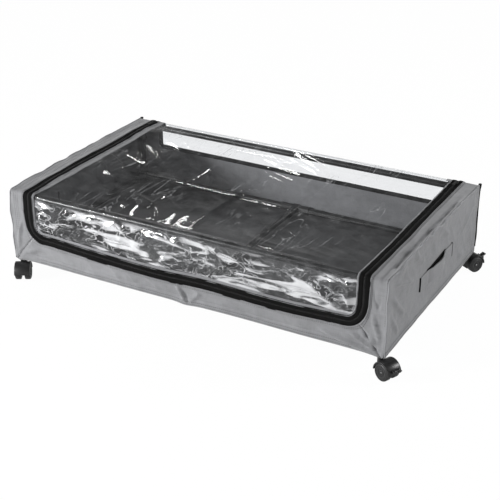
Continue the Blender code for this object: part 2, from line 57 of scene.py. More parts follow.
# places read from the frame
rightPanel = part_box("end_panel_right")
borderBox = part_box("lid_border")
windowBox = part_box("back_window")
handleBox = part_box("handle_right")

cover = {
    "halfLength": rightPanel[1].x,
    "halfWidth": rightPanel[1].y,
    "base": rightPanel[0].z,
    "top": rightPanel[1].z,
    "cloth": rightPanel[1].x - rightPanel[0].x,
    "foldRadius": 0.0068,        # bend of the cover over the top front edge
    "rearRadius": 0.0036,        # bend over the top rear edge
    "hemHeight": 0.0125,         # turned-up hem round the bottom
    "hemStep": 0.0011,           # how far the hem stands proud
}
zipper = {
    "x": borderBox[1].x + 0.0005,
    "frontZ": borderBox[0].z - 0.0005,
    "corner": 0.030,
    "tape": 0.0112,
    "border": 0.0225,            # inner edge of the grey strip, from the teeth
}
sheetZ = cover["top"] - cover["cloth"] / 2
frontY = -(cover["halfWidth"] - cover["cloth"] / 2)
rearY = cover["halfWidth"] - cover["cloth"] / 2 - cover["rearRadius"]
flatRun = rearY - frontY - cover["foldRadius"]
bendRun = cover["foldRadius"] * math.pi / 2
rearRun = cover["rearRadius"] * math.pi / 2
zipRun = flatRun + bendRun + sheetZ - cover["foldRadius"] - zipper["frontZ"]
rimRun = flatRun + bendRun + sheetZ - cover["foldRadius"] - cover["base"]


# small helpers
def smooth(low, high, value):
    share = min(max((value - low) / (high - low), 0.0), 1.0)
    return share * share * (3 - 2 * share)


def mix(a, b, share):
    return a + (b - a) * share


def ripple(x, y, scale, seed):
    return noise.noise(Vector((x * scale, y * scale, seed)))


def ridge(x, y, across, along, seed, sharpness=6):
    # thin raised lines that run along y
    return (1 - abs(noise.noise(Vector((x * across, y * along, seed))))) ** sharpness


def crease(x, y, start, end, width, height):
    # one fold line between two points, fading out at its ends
    run = Vector(end) - Vector(start)
    share = (Vector((x, y)) - Vector(start)).dot(run) / run.length_squared
    if share < 0 or share > 1:
        return 0.0
    off = (Vector((x, y)) - Vector(start) - run * share).length
    fade = min(1.0, 4 * share, 4 * (1 - share))
    return height * fade * math.exp(-(off / width) ** 2)


def newObject(name, mesh, finishes):
    obj = bpy.data.objects.new(name, mesh)
    bpy.context.scene.collection.objects.link(obj)
    for finish in finishes:
        mesh.materials.append(finish)
    return obj


def applied(obj):
    # the object with its modifiers made part of the mesh
    bpy.context.view_layer.update()
    evaluated = obj.evaluated_get(bpy.context.evaluated_depsgraph_get())
    mesh = bpy.data.meshes.new_from_object(evaluated)
    old = obj.data
    obj.modifiers.clear()
    obj.data = mesh
    mesh.name = obj.name
    bpy.data.meshes.remove(old)
    return obj


def meshFrom(name, bm, finishes, sharpAngle=None):
    for face in bm.faces:
        face.smooth = True
    mesh = bpy.data.meshes.new(name)
    bm.to_mesh(mesh)
    bm.free()
    if sharpAngle is not None:
        mesh.set_sharp_from_angle(angle=math.radians(sharpAngle))
    return newObject(name, mesh, finishes)


def clothPiece(name, rows, places, finish, thickness, lining=None, flip=False, offset=0.0):
    # a grid of points with its cloth coordinates in metres, given a thickness
    bm = bmesh.new()
    layer = bm.loops.layers.uv.new("cloth")
    grid = [[bm.verts.new(point) for point in row] for row in rows]
    for i in range(len(rows) - 1):
        for j in range(len(rows[0]) - 1):
            corners = [(i, j), (i, j + 1), (i + 1, j + 1), (i + 1, j)]
            if flip:
                corners.reverse()
            face = bm.faces.new([grid[a][b] for a, b in corners])
            for loop, (a, b) in zip(face.loops, corners):
                loop[layer].uv = places[a][b]
    obj = meshFrom(name, bm, [finish] + ([lining] if lining else []))
    shell = obj.modifiers.new("thickness", "SOLIDIFY")
    shell.thickness = thickness
    shell.offset = offset
    shell.material_offset = 1 if lining else 0
    return applied(obj)


def loft(name, rings, finishes, uvScale=1.0, sharpAngle=40):
    # a closed skin through rings of points, with its own coordinates along and round it
    bm = bmesh.new()
    layer = bm.loops.layers.uv.new("cloth")
    grid = [[bm.verts.new(point) for point in ring] for ring in rings]
    count = len(rings[0])
    along = 0.0
    for i in range(len(rings) - 1):
        step = (Vector(rings[i + 1][0]) - Vector(rings[i][0])).length
        for j in range(count):
            k = (j + 1) % count
            face = bm.faces.new([grid[i][j], grid[i][k], grid[i + 1][k], grid[i + 1][j]])
            around = (j / count, (j + 1) / count)
            spots = [(along, around[0]), (along, around[1]), (along + step, around[1]),
                     (along + step, around[0])]
            for loop, spot in zip(face.loops, spots):
                loop[layer].uv = (spot[0], spot[1] * uvScale)
        along += step
    bm.faces.new(list(reversed(grid[0])))
    bm.faces.new(grid[-1])
    bmesh.ops.recalc_face_normals(bm, faces=bm.faces)
    if bm.calc_volume(signed=True) < 0:
        bmesh.ops.reverse_faces(bm, faces=bm.faces)
    return meshFrom(name, bm, finishes, sharpAngle=sharpAngle)


def frameAlong(path, up):
    # tangent, side and up at each point of a path
    frames = []
    for i in range(len(path)):
        ahead = path[min(i + 1, len(path) - 1)] - path[max(i - 1, 0)]
        tangent = ahead.normalized()
        lift = up[i] if isinstance(up, list) else up
        side = tangent.cross(lift).normalized()
        frames.append((tangent, side, side.cross(tangent).normalized()))
    return frames


def cordPiece(name, path, up, radius, finish, sides=10):
    # a round cord or piping along a path
    rings = []
    for point, (_, side, lift) in zip(path, frameAlong(path, up)):
        ring = []
        for k in range(sides):
            angle = 2 * math.pi * k / sides
            ring.append(point + side * radius * math.cos(angle) + lift * radius * math.sin(angle))
        rings.append(ring)
    return loft(name, rings, [finish], uvScale=2 * math.pi * radius)


def turnedRings(profile, steps, centre, axis, start):
    # rings of a turned shape: profile of (radius, distance along the axis)
    axis = Vector(axis).normalized()
    start = Vector(start)
    start = (start - axis * start.dot(axis)).normalized()
    other = axis.cross(start)
    rings = []
    for radius, height in profile:
        ring = []
        for k in range(steps):
            angle = 2 * math.pi * k / steps
            ring.append(centre + axis * height + (start * math.cos(angle)
                                                  + other * math.sin(angle)) * radius)
        rings.append(ring)
    return rings


def turned(name, profile, steps, centre, axis, finish, start=(0, 0, 1), sharpAngle=35,
           ringShaped=False):
    # closed solid of revolution; a ring-shaped profile is closed on itself
    rings = turnedRings(profile, steps, Vector(centre), axis, start)
    bm = bmesh.new()
    grid = [[bm.verts.new(point) for point in ring] for ring in rings]
    spans = len(grid) if ringShaped else len(grid) - 1
    for i in range(spans):
        for j in range(steps):
            k = (j + 1) % steps
            nextRing = grid[(i + 1) % len(grid)]
            bm.faces.new([grid[i][j], grid[i][k], nextRing[k], nextRing[j]])
    if not ringShaped:
        bm.faces.new(list(reversed(grid[0])))
        bm.faces.new(grid[-1])
    bmesh.ops.recalc_face_normals(bm, faces=bm.faces)
    if bm.calc_volume(signed=True) < 0:
        bmesh.ops.reverse_faces(bm, faces=bm.faces)
    return meshFrom(name, bm, [finish], sharpAngle=sharpAngle)


def roundedBlock(name, low, high, bevel, finish, matrix=None, segments=3):
    bm = bmesh.new()
    low, high = Vector(low), Vector(high)
    size = high - low
    place = Matrix.Translation((low + high) / 2) @ Matrix.Diagonal((*size, 1))
    bmesh.ops.create_cube(bm, size=1.0, matrix=place)
    bmesh.ops.bevel(bm, geom=bm.edges[:], offset=bevel, segments=segments, affect="EDGES",
                    profile=0.5)
    if matrix is not None:
        bm.transform(matrix)
    return meshFrom(name, bm, [finish], sharpAngle=50)


def shadedSmooth(obj, sharpAngle=180):
    for polygon in obj.data.polygons:
        polygon.use_smooth = True
    if sharpAngle < 180:
        obj.data.set_sharp_from_angle(angle=math.radians(sharpAngle))
    return obj


def joined(name, parts):
    # several closed shapes as one piece
    bm = bmesh.new()
    finishes = []
    for part in parts:
        first = len(bm.faces)
        bm.from_mesh(part.data)
        bm.faces.ensure_lookup_table()
        for face in bm.faces[first:]:
            finish = part.data.materials[face.material_index]
            if finish not in finishes:
                finishes.append(finish)
            face.material_index = finishes.index(finish)
        bpy.data.objects.remove(part, do_unlink=True)
    mesh = bpy.data.meshes.new(name)
    bm.to_mesh(mesh)
    bm.free()
    return newObject(name, mesh, finishes)


def keep(piece, body, replaced=()):
    # seats a finished piece in the model
    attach(piece, body)
    if replaced:
        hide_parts(*replaced)
    return piece


# shader groups
def newGroup(name, inputs, outputs):
    group = bpy.data.node_groups.new(name, "ShaderNodeTree")
    for label, kind, value in inputs:
        socket = group.interface.new_socket(label, in_out="INPUT", socket_type=kind)
        if value is not None:
            socket.default_value = value
    for label, kind in outputs:
        group.interface.new_socket(label, in_out="OUTPUT", socket_type=kind)
    return group, group.nodes.new("NodeGroupInput"), group.nodes.new("NodeGroupOutput")


def math2(nodes, links, operation, a, b=None):
    node = nodes.new("ShaderNodeMath")
    node.operation = operation
    for socket, value in zip(node.inputs, (a, b)):
        if value is None:
            continue
        if isinstance(value, (int, float)):
            socket.default_value = value
        else:
            links.new(value, socket)
    return node.outputs[0]


def makeWeaveGroup():
    # plain weave: over-and-under threads with uneven slubs
    group, source, sink = newGroup("wovenThreads", [
        ("Place", "NodeSocketVector", None), ("Threads", "NodeSocketFloat", 1600.0),
        ("Slub", "NodeSocketFloat", 0.5)], [("Height", "NodeSocketFloat"),
                                            ("Tone", "NodeSocketFloat")])
    nodes, links = group.nodes, group.links
    split = nodes.new("ShaderNodeSeparateXYZ")
    links.new(source.outputs["Place"], split.inputs[0])
    turns = math2(nodes, links, "MULTIPLY", source.outputs["Threads"], math.pi)
    warp = math2(nodes, links, "SINE", math2(nodes, links, "MULTIPLY", split.outputs["X"], turns))
    weft = math2(nodes, links, "SINE", math2(nodes, links, "MULTIPLY", split.outputs["Y"], turns))
    cross = math2(nodes, links, "MULTIPLY", warp, weft)
    height = math2(nodes, links, "MULTIPLY_ADD", cross, 0.5)
    height.node.inputs[2].default_value = 0.5
    tones = []
    for stretch in ((900.0, 40.0, 1.0), (40.0, 900.0, 1.0)):
        turn = nodes.new("ShaderNodeMapping")
        turn.inputs["Scale"].default_value = stretch
        links.new(source.outputs["Place"], turn.inputs["Vector"])
        grain = nodes.new("ShaderNodeTexNoise")
        grain.inputs["Scale"].default_value = 1.0
        grain.inputs["Detail"].default_value = 3.0
        links.new(turn.outputs[0], grain.inputs["Vector"])
        tones.append(grain.outputs["Fac"])
    both = math2(nodes, links, "ADD", tones[0], tones[1])
    slub = math2(nodes, links, "MULTIPLY", both, source.outputs["Slub"])
    links.new(slub, sink.inputs["Tone"])
    raised = math2(nodes, links, "ADD", height, math2(nodes, links, "MULTIPLY", slub, 0.6))
    links.new(raised, sink.inputs["Height"])
    return group


def makeMottleGroup():
    # broad and fine unevenness from handling and dust
    group, source, sink = newGroup("handlingMarks", [
        ("Place", "NodeSocketVector", None), ("Broad", "NodeSocketFloat", 9.0),
        ("Fine", "NodeSocketFloat", 160.0)], [("Broad", "NodeSocketFloat"),
                                              ("Fine", "NodeSocketFloat"),
                                              ("Both", "NodeSocketFloat")])
    nodes, links = group.nodes, group.links
    results = []
    for label, detail in (("Broad", 4.0), ("Fine", 6.0)):
        cloud = nodes.new("ShaderNodeTexNoise")
        cloud.inputs["Detail"].default_value = detail
        cloud.inputs["Roughness"].default_value = 0.6
        links.new(source.outputs["Place"], cloud.inputs["Vector"])
        links.new(source.outputs[label], cloud.inputs["Scale"])
        links.new(cloud.outputs["Fac"], sink.inputs[label])
        results.append(cloud.outputs["Fac"])
    both = math2(nodes, links, "MULTIPLY_ADD", results[0], 0.6)
    links.new(math2(nodes, links, "MULTIPLY", results[1], 0.4), both.node.inputs[2])
    links.new(both, sink.inputs["Both"])
    return group


weaveGroup = makeWeaveGroup()
mottleGroup = makeMottleGroup()


# materials
def grey(level, cool=1.0):
    return (level, level * mix(1.0, 1.012, cool), level * mix(1.0, 1.05, cool), 1.0)


def newFinish(name):
    finish = bpy.data.materials.new(name)
    finish.use_nodes = True
    tree = finish.node_tree
    return finish, tree.nodes, tree.links, tree.nodes["Principled BSDF"]


def ramp(nodes, links, source, low, high, stops=(0.3, 0.7)):
    node = nodes.new("ShaderNodeValToRGB")
    node.color_ramp.elements[0].position, node.color_ramp.elements[1].position = stops
    node.color_ramp.elements[0].color = low
    node.color_ramp.elements[1].color = high
    links.new(source, node.inputs[0])
    return node.outputs["Color"]


def range01(nodes, links, source, low, high, fromLow=0.3, fromHigh=0.7):
    node = nodes.new("ShaderNodeMapRange")
    node.inputs["From Min"].default_value = fromLow
    node.inputs["From Max"].default_value = fromHigh
    node.inputs["To Min"].default_value = low
    node.inputs["To Max"].default_value = high
    links.new(source, node.inputs["Value"])
    return node.outputs["Result"]


def bump(nodes, links, shader, height, strength, distance, below=None):
    node = nodes.new("ShaderNodeBump")
    node.inputs["Strength"].default_value = strength
    node.inputs["Distance"].default_value = distance
    links.new(height, node.inputs["Height"])
    if below is not None:
        links.new(below, node.inputs["Normal"])
    links.new(node.outputs["Normal"], shader.inputs["Normal"])
    return node.outputs["Normal"]


def placed(nodes, links, group, place, **values):
    node = nodes.new("ShaderNodeGroup")
    node.node_tree = group
    links.new(place, node.inputs["Place"])
    for label, value in values.items():
        node.inputs[label].default_value = value
    return node


def clothFinish(name, level, spread=0.16, rough=0.78, sheen=0.25, threads=1600.0,
                wrinkle=0.0012, sheenRough=0.45):
    # woven polyester: threads from the cloth's own coordinates, soft tone over the whole piece
    finish, nodes, links, shader = newFinish(name)
    spots = nodes.new("ShaderNodeTexCoord")
    weave = placed(nodes, links, weaveGroup, spots.outputs["UV"], Threads=threads)
    marks = placed(nodes, links, mottleGroup, spots.outputs["Object"], Broad=7.0, Fine=60.0)
    tone = math2(nodes, links, "MULTIPLY_ADD", marks.outputs["Both"], 0.6)
    links.new(math2(nodes, links, "MULTIPLY", weave.outputs["Tone"], 0.4), tone.node.inputs[2])
    colour = ramp(nodes, links, tone, grey(level * (1 - spread)), grey(level * (1 + spread)),
                  stops=(0.35, 0.65))
    links.new(colour, shader.inputs["Base Color"])
    links.new(range01(nodes, links, marks.outputs["Both"], rough - 0.08, rough + 0.08),
              shader.inputs["Roughness"])
    shader.inputs["Sheen Weight"].default_value = sheen
    shader.inputs["Sheen Roughness"].default_value = sheenRough
    shader.inputs["Specular IOR Level"].default_value = 0.35
    soft = bump(nodes, links, shader, marks.outputs["Fine"], 0.35, wrinkle)
    bump(nodes, links, shader, weave.outputs["Height"], 0.5, 0.00018, below=soft)
    return finish


def tapeFinish(name, level, ribs=900.0):
    # knitted zipper tape: ribs along its length
    finish, nodes, links, shader = newFinish(name)
    spots = nodes.new("ShaderNodeTexCoord")
    split = nodes.new("ShaderNodeSeparateXYZ")
    links.new(spots.outputs["UV"], split.inputs[0])
    turn = math2(nodes, links, "MULTIPLY", split.outputs["X"], ribs * 2 * math.pi)
    wave = math2(nodes, links, "SINE", turn)
    marks = placed(nodes, links, mottleGroup, spots.outputs["Object"], Broad=25.0, Fine=400.0)
    colour = ramp(nodes, links, marks.outputs["Both"], grey(level * 0.6, 0), grey(level * 1.5, 0))
    links.new(colour, shader.inputs["Base Color"])
    links.new(range01(nodes, links, marks.outputs["Fine"], 0.62, 0.85), shader.inputs["Roughness"])
    shader.inputs["Specular IOR Level"].default_value = 0.06
    bump(nodes, links, shader, math2(nodes, links, "ADD", wave, marks.outputs["Fine"]), 0.4, 0.00015)
    return finish


def webbingFinish(name, level):
    # heavy ribbed webbing
    finish, nodes, links, shader = newFinish(name)
    spots = nodes.new("ShaderNodeTexCoord")
    weave = placed(nodes, links, weaveGroup, spots.outputs["UV"], Threads=700.0)
    marks = placed(nodes, links, mottleGroup, spots.outputs["Object"], Broad=30.0, Fine=300.0)
    colour = ramp(nodes, links, marks.outputs["Both"], grey(level * 0.82), grey(level * 1.15))
    links.new(colour, shader.inputs["Base Color"])
    links.new(range01(nodes, links, marks.outputs["Fine"], 0.75, 0.95), shader.inputs["Roughness"])
    shader.inputs["Sheen Weight"].default_value = 0.2
    bump(nodes, links, shader, weave.outputs["Height"], 0.7, 0.0004)
    return finish


def plasticFinish(name, level, rough, grain=1500.0, wear=0.4, specular=0.5):
    # moulded plastic or powder coat: fine grain, dust and rubbed patches
    finish, nodes, links, shader = newFinish(name)
    spots = nodes.new("ShaderNodeTexCoord")
    marks = placed(nodes, links, mottleGroup, spots.outputs["Object"], Broad=40.0, Fine=grain)
    colour = ramp(nodes, links, marks.outputs["Both"], grey(level * (1 - wear / 2), 0.4),
                  grey(level * (1 + wear), 0.4))
    links.new(colour, shader.inputs["Base Color"])
    links.new(range01(nodes, links, marks.outputs["Both"], rough - 0.07, rough + 0.1),
              shader.inputs["Roughness"])
    shader.inputs["Specular IOR Level"].default_value = specular
    bump(nodes, links, shader, marks.outputs["Fine"], 0.18, 0.0002)
    return finish


def steelFinish(name):
    finish, nodes, links, shader = newFinish(name)
    spots = nodes.new("ShaderNodeTexCoord")
    marks = placed(nodes, links, mottleGroup, spots.outputs["Object"], Broad=60.0, Fine=900.0)
    colour = ramp(nodes, links, marks.outputs["Both"], (0.40, 0.40, 0.41, 1), (0.62, 0.62, 0.63, 1))
    links.new(colour, shader.inputs["Base Color"])
    links.new(range01(nodes, links, marks.outputs["Fine"], 0.22, 0.42), shader.inputs["Roughness"])
    shader.inputs["Metallic"].default_value = 1.0
    bump(nodes, links, shader, marks.outputs["Fine"], 0.1, 0.0001)
    return finish


def whitenedAndPaintedGlints(nodes, links, place):
    # mask of pale streaks and folds on the hanging front and hair-fine folds on the top: partly the
    # film's whitening along its creases, partly painted highlights standing in for lamp glints on the
    # wrinkles
    split = nodes.new("ShaderNodeSeparateXYZ")
    links.new(place, split.inputs[0])
    start = flatRun + bendRun
    hanging = range01(nodes, links, split.outputs["Y"], 0.0, 1.0, start + 0.002, start + 0.012)

    def clouds(scale, turn, detail, distortion):
        seat = nodes.new("ShaderNodeMapping")
        seat.inputs["Rotation"].default_value = (0, 0, turn)
        seat.inputs["Scale"].default_value = (*scale, 1)
        links.new(place, seat.inputs["Vector"])
        cloud = nodes.new("ShaderNodeTexNoise")
        cloud.inputs["Scale"].default_value = 1.0
        cloud.inputs["Detail"].default_value = detail
        cloud.inputs["Distortion"].default_value = distortion
        links.new(seat.outputs[0], cloud.inputs["Vector"])
        return cloud.outputs["Fac"]

    def lines(source, width):
        off = math2(nodes, links, "ABSOLUTE", math2(nodes, links, "SUBTRACT", source, 0.5))
        return range01(nodes, links, off, 1.0, 0.0, 0.0, width)

    broad = range01(nodes, links, clouds((11, 52), 0.0, 3.0, 1.2), 0.0, 1.0, 0.53, 0.66)
    folds = lines(clouds((34, 60), 0.5, 2.0, 1.6), 0.020)
    patches = range01(nodes, links, clouds((9, 20), 0.0, 1.0, 0.0), 0.25, 1.0, 0.45, 0.58)
    front = math2(nodes, links, "MAXIMUM", math2(nodes, links, "MULTIPLY", broad, 0.85),
                  math2(nodes, links, "MULTIPLY", folds, patches))
    hairs = lines(clouds((46, 7), -0.7, 2.0, 0.8), 0.010)
    places = range01(nodes, links, clouds((8, 8), 0.0, 1.0, 0.0), 0.0, 0.42, 0.50, 0.62)
    top = math2(nodes, links, "MULTIPLY", hairs, places)
    above = math2(nodes, links, "SUBTRACT", 1.0, hanging)
    return math2(nodes, links, "ADD", math2(nodes, links, "MULTIPLY", front, hanging),
                 math2(nodes, links, "MULTIPLY", top, above))


def filmFinish(name, haze, wrinkle, scale=38.0, streaks=False):
    # clear soft film: it mirrors at its surface and has a little milky haze
    finish, nodes, links, shader = newFinish(name)
    spots = nodes.new("ShaderNodeTexCoord")
    marks = placed(nodes, links, mottleGroup, spots.outputs["Object"], Broad=scale, Fine=scale * 4)
    normal = bump(nodes, links, shader, marks.outputs["Broad"], 0.6, wrinkle)
    shader.inputs["Base Color"].default_value = (0.92, 0.93, 0.95, 1)
    shader.inputs["Roughness"].default_value = 0.06
    shader.inputs["IOR"].default_value = 1.52
    mirror = nodes.new("ShaderNodeFresnel")
    mirror.inputs["IOR"].default_value = 1.34
    links.new(normal, mirror.inputs["Normal"])
    face = nodes.new("ShaderNodeNewGeometry")
    facing = math2(nodes, links, "SUBTRACT", 1.0, face.outputs["Backfacing"])
    gloss = nodes.new("ShaderNodeBsdfGlossy")
    gloss.inputs["Roughness"].default_value = 0.07
    links.new(normal, gloss.inputs["Normal"])
    clear = nodes.new("ShaderNodeBsdfTransparent")
    clear.inputs["Color"].default_value = (0.985, 0.988, 0.992, 1)
    milky = nodes.new("ShaderNodeMixShader")
    share = range01(nodes, links, marks.outputs["Broad"], haze * 0.4, haze * 1.8, 0.35, 0.75)
    shine = math2(nodes, links, "MULTIPLY", mirror.outputs[0], facing)
    if streaks:
        # painted shade: along the fold over the front rail the film's reflection and haze drop to 15%,
        # so the rail shows through as a black line
        split = nodes.new("ShaderNodeSeparateXYZ")
        links.new(spots.outputs["UV"], split.inputs[0])
        fromFold = math2(nodes, links, "ABSOLUTE", math2(
            nodes, links, "SUBTRACT", split.outputs["Y"], flatRun + bendRun / 2 - 0.001))
        paintedFoldShade = range01(nodes, links, fromFold, 0.15, 1.0, 0.0060, 0.0095)
        shine = math2(nodes, links, "MULTIPLY", shine, paintedFoldShade)
        # painted highlights: the streak mask raises the milky white share, partly whitening of the
        # creased film, partly standing in for glints
        whiteAndPaintedGlint = math2(nodes, links, "MULTIPLY", whitenedAndPaintedGlints(nodes, links, spots.outputs["UV"]), paintedFoldShade)
        share = math2(nodes, links, "MULTIPLY_ADD", whiteAndPaintedGlint, 0.70)
        links.new(range01(nodes, links, marks.outputs["Broad"], haze * 0.4, haze * 1.8, 0.35, 0.75),
                  share.node.inputs[2])
        # painted reflection: the same mask also raises the mirror share on the streaks
        shine = math2(nodes, links, "MAXIMUM", shine, math2(nodes, links, "MULTIPLY", whiteAndPaintedGlint, 0.30))
    links.new(share, milky.inputs[0])
    links.new(clear.outputs[0], milky.inputs[1])
    links.new(shader.outputs[0], milky.inputs[2])
    top = nodes.new("ShaderNodeMixShader")
    links.new(shine, top.inputs[0])
    links.new(milky.outputs[0], top.inputs[1])
    links.new(gloss.outputs[0], top.inputs[2])
    links.new(top.outputs[0], nodes["Material Output"].inputs["Surface"])
    return finish


fabric = clothFinish("greyCloth", 0.215, spread=0.26, wrinkle=0.0032)
# same cloth as the cover made lighter: painted highlight along the rounded piping
pipingCloth = clothFinish("pipingCloth", 0.26, rough=0.7, threads=1100.0)
liningCloth = clothFinish("liningCloth", 0.045, rough=0.62, sheen=0.1)
stripCloth = clothFinish("lidStripCloth", 0.20, spread=0.30, wrinkle=0.0024)
threadFinish = clothFinish("sewingThread", 0.050, threads=3000.0)
threadPale = clothFinish("sewingThreadPale", 0.34, threads=3000.0)
tapeBlack = tapeFinish("zipperTapeBlack", 0.0050)
coilBlack = plasticFinish("zipperCoil", 0.007, 0.50)
bindingBlack = tapeFinish("bindingBlack", 0.008, ribs=600.0)
webbing = webbingFinish("handleWebbing", 0.225)
tubePaint = plasticFinish("tubePaint", 0.007, 0.30, grain=900.0, wear=0.25, specular=0.3)
connectorPlastic = plasticFinish("connectorPlastic", 0.018, 0.5)
casterPlastic = plasticFinish("casterPlastic", 0.016, 0.36)
wheelPlastic = plasticFinish("wheelPlastic", 0.019, 0.45, wear=0.5)
steel = steelFinish("pinSteel")
film = filmFinish("clearFilm", 0.020, 0.0005, streaks=True)
windowFilm = filmFinish("windowFilm", 0.02, 0.0005, scale=22.0)
print("materials made")


# the cover as one folded sheet
def onSheet(x, run, height=0.0):
    # run is measured along the sheet from the rear edge of its flat top
    if run < 0:
        angle = min(-run / cover["rearRadius"], math.pi / 2)
        down = max(-run - rearRun, 0.0)
        reach = cover["rearRadius"] + height
        return Vector((x, rearY + reach * math.sin(angle),
                       sheetZ - cover["rearRadius"] + reach * math.cos(angle) - down))
    if run <= flatRun:
        return Vector((x, rearY - run, sheetZ + height))
    if run <= flatRun + bendRun:
        angle = (run - flatRun) / cover["foldRadius"]
        reach = cover["foldRadius"] + height
        return Vector((x, frontY + cover["foldRadius"] - reach * math.sin(angle),
                       sheetZ - cover["foldRadius"] + reach * math.cos(angle)))
    down = run - flatRun - bendRun
    return Vector((x, frontY - height, sheetZ - cover["foldRadius"] - down))


def sheetUp(run):
    # outward direction of the sheet
    angle = min(max((run - flatRun) / cover["foldRadius"], 0.0), math.pi / 2)
    if run < 0:
        back = min(-run / cover["rearRadius"], math.pi / 2)
        return Vector((0, math.sin(back), math.cos(back)))
    return Vector((0, -math.sin(angle), math.cos(angle)))


def topShare(run):
    # 1 in the middle of the unsupported top, 0 at the rails
    share = min(max(run / flatRun, 0.0), 1.0)
    return math.sin(math.pi * share) ** 0.8


def frontShare(run):
    return smooth(flatRun + bendRun, flatRun + bendRun + 0.03, run)


def sheetHeight(x, run):
    # slack shared by every piece sewn along the zipper
    inwards = smooth(cover["halfLength"] - 0.012, zipper["x"] - 0.012, abs(x))
    seed = 3.0 if x > 0 else 9.0
    height = -0.0034 * topShare(run) * inwards
    height += 0.0016 * ripple(x, run, 9.0, seed) * inwards * (0.3 + topShare(run))
    height += frontShare(run) * (0.0022 * ripple(x, run, 11.0, 21.0) + 0.0008)
    if x < 0:
        height += 0.0052 * inwards * smooth(0.0, 0.08, run) * (1 - smooth(flatRun - 0.08, flatRun, run))
    return height


def zipPath(count=560):
    # (x, run) and outward direction along the teeth, rear left round the front to rear right
    straight = zipRun - zipper["corner"]
    arc = zipper["corner"] * math.pi / 2
    width = 2 * (zipper["x"] - zipper["corner"])
    total = 2 * straight + 2 * arc + width
    spots = []
    for i in range(count + 1):
        s = total * i / count
        mirrored = s > total / 2
        s = min(s, total - s)
        if s <= straight:
            x, run, nx, nr = -zipper["x"], s, -1.0, 0.0
        elif s <= straight + arc:
            angle = (s - straight) / zipper["corner"]
            nx, nr = -math.cos(angle), math.sin(angle)
            x = -zipper["x"] + zipper["corner"] + nx * zipper["corner"]
            run = straight + nr * zipper["corner"]
        else:
            x = -zipper["x"] + zipper["corner"] + (s - straight - arc)
            run, nx, nr = zipRun, 0.0, 1.0
        sign = -1 if mirrored else 1
        spots.append((x * sign, run, nx * sign, nr))
    return spots


def zipWander(x, run):
    # how far the zipper strays sideways from its straight line
    front = smooth(zipRun - 0.05, zipRun - 0.005, run)
    lift = 0.0050 * (abs(x) / 0.33) ** 2 - 0.0028 + 0.0018 * math.sin(x * 19.0 + 0.6)
    side = 0.0016 * ripple(x, run, 10.0, 5.5 if x > 0 else 8.5) * smooth(0.0, 0.05, run)
    return side * (1 - front) - lift * front


def besideZip(spot, offset, height=0.0):
    # a point of the sheet at a distance outside the teeth
    x, run, nx, nr = spot
    shift = offset + zipWander(x, run)
    px, pr = x + nx * shift, run + nr * shift
    return onSheet(px, pr, sheetHeight(px, pr) + height)


def frameRoom(fromEnd, fromRail):
    # how far cloth may sink in before it touches the frame, by its distance from two edges
    room = 0.0002 + 0.0016 * smooth(0.044, 0.054, max(fromEnd, fromRail))
    return room + 0.0040 * smooth(0.020, 0.035, min(fromEnd, fromRail))


def sheetRoom(x, run):
    if run <= flatRun:
        across = min(max(run, 0.0) + cover["rearRadius"], flatRun + cover["foldRadius"] - run)
    else:
        across = min(run - flatRun - bendRun + cover["foldRadius"], rimRun - run)
    return frameRoom(cover["halfLength"] - abs(x), max(across, 0.0))


def rimWave(side, run):
    # (sideways, outward) slack of the seam between the end panels and the strips
    along = smooth(0.03, 0.12, run)
    near = math.exp(-((run - flatRun) / 0.040) ** 2)
    sideways = 0.0050 * along * max(0.22 + ripple(run, side, 21.0, 2.0), 0.0)
    outward = 0.0064 * along * (0.25 + ripple(run, side, 27.0, 4.0))
    outward += 0.0020 * along * ripple(run, side, 75.0, 6.0)
    if side < 0:
        outward *= 0.4
    if side > 0:
        outward += 0.0024 * along + 0.0022 * along * ripple(run, side, 48.0, 9.0)
        outward += 0.0040 * math.exp(-((run - 0.335) / 0.022) ** 2)
        sideways += 0.0026 * math.exp(-((run - 0.215) / 0.025) ** 2)
        sideways += 0.0022 * math.exp(-((run - 0.400) / 0.030) ** 2)
    outward = max(outward, -0.0014 * along) * (1 - near)
    fade = 1 - smooth(rimRun - 0.03, rimRun, run)
    return side * sideways * fade, outward * fade


stemSpots = [Vector((*joint["pos_m"][:2], 0)) for joint in frame["joints"]
             if joint["name"].endswith("_swivel")]


drawn = {"within": 0.075, "spread": 0.026, "inward": 0.30, "down": 0.0058, "rearShare": 0.6}


def settled(point):
    # the cover's lower corners are drawn down and in to the caster stems
    moved = Vector(point)
    for spot in stemSpots:
        flat = Vector((point.x - spot.x, point.y - spot.y, 0))
        corner = Vector((math.copysign(cover["halfLength"], spot.x),
                         math.copysign(cover["halfWidth"], spot.y), 0))
        reach = (Vector((point.x, point.y, 0)) - corner).length
        if reach > drawn["within"]:
            continue
        near = math.exp(-(reach / drawn["spread"]) ** 2)
        low = 1 - smooth(cover["base"], cover["base"] + 0.030, point.z)
        edge = 1 - smooth(cover["base"], cover["base"] + 0.005, point.z)
        front = 1.0 if spot.y < 0 else drawn["rearShare"]
        moved -= flat * drawn["inward"] * near * edge * front
        moved.z -= drawn["down"] * near * low ** 2 * front
    low = 1 - smooth(cover["base"], cover["base"] + 0.03, point.z)
    middle = math.exp(-(point.x / 0.02) ** 2)
    if point.y < 0:
        moved.y -= 0.0022 * middle * low
        moved.z -= 0.0016 * middle * low
    moved.z += low * 0.0022 * ripple(point.x, point.y, 6.0, 31.0)
    return moved


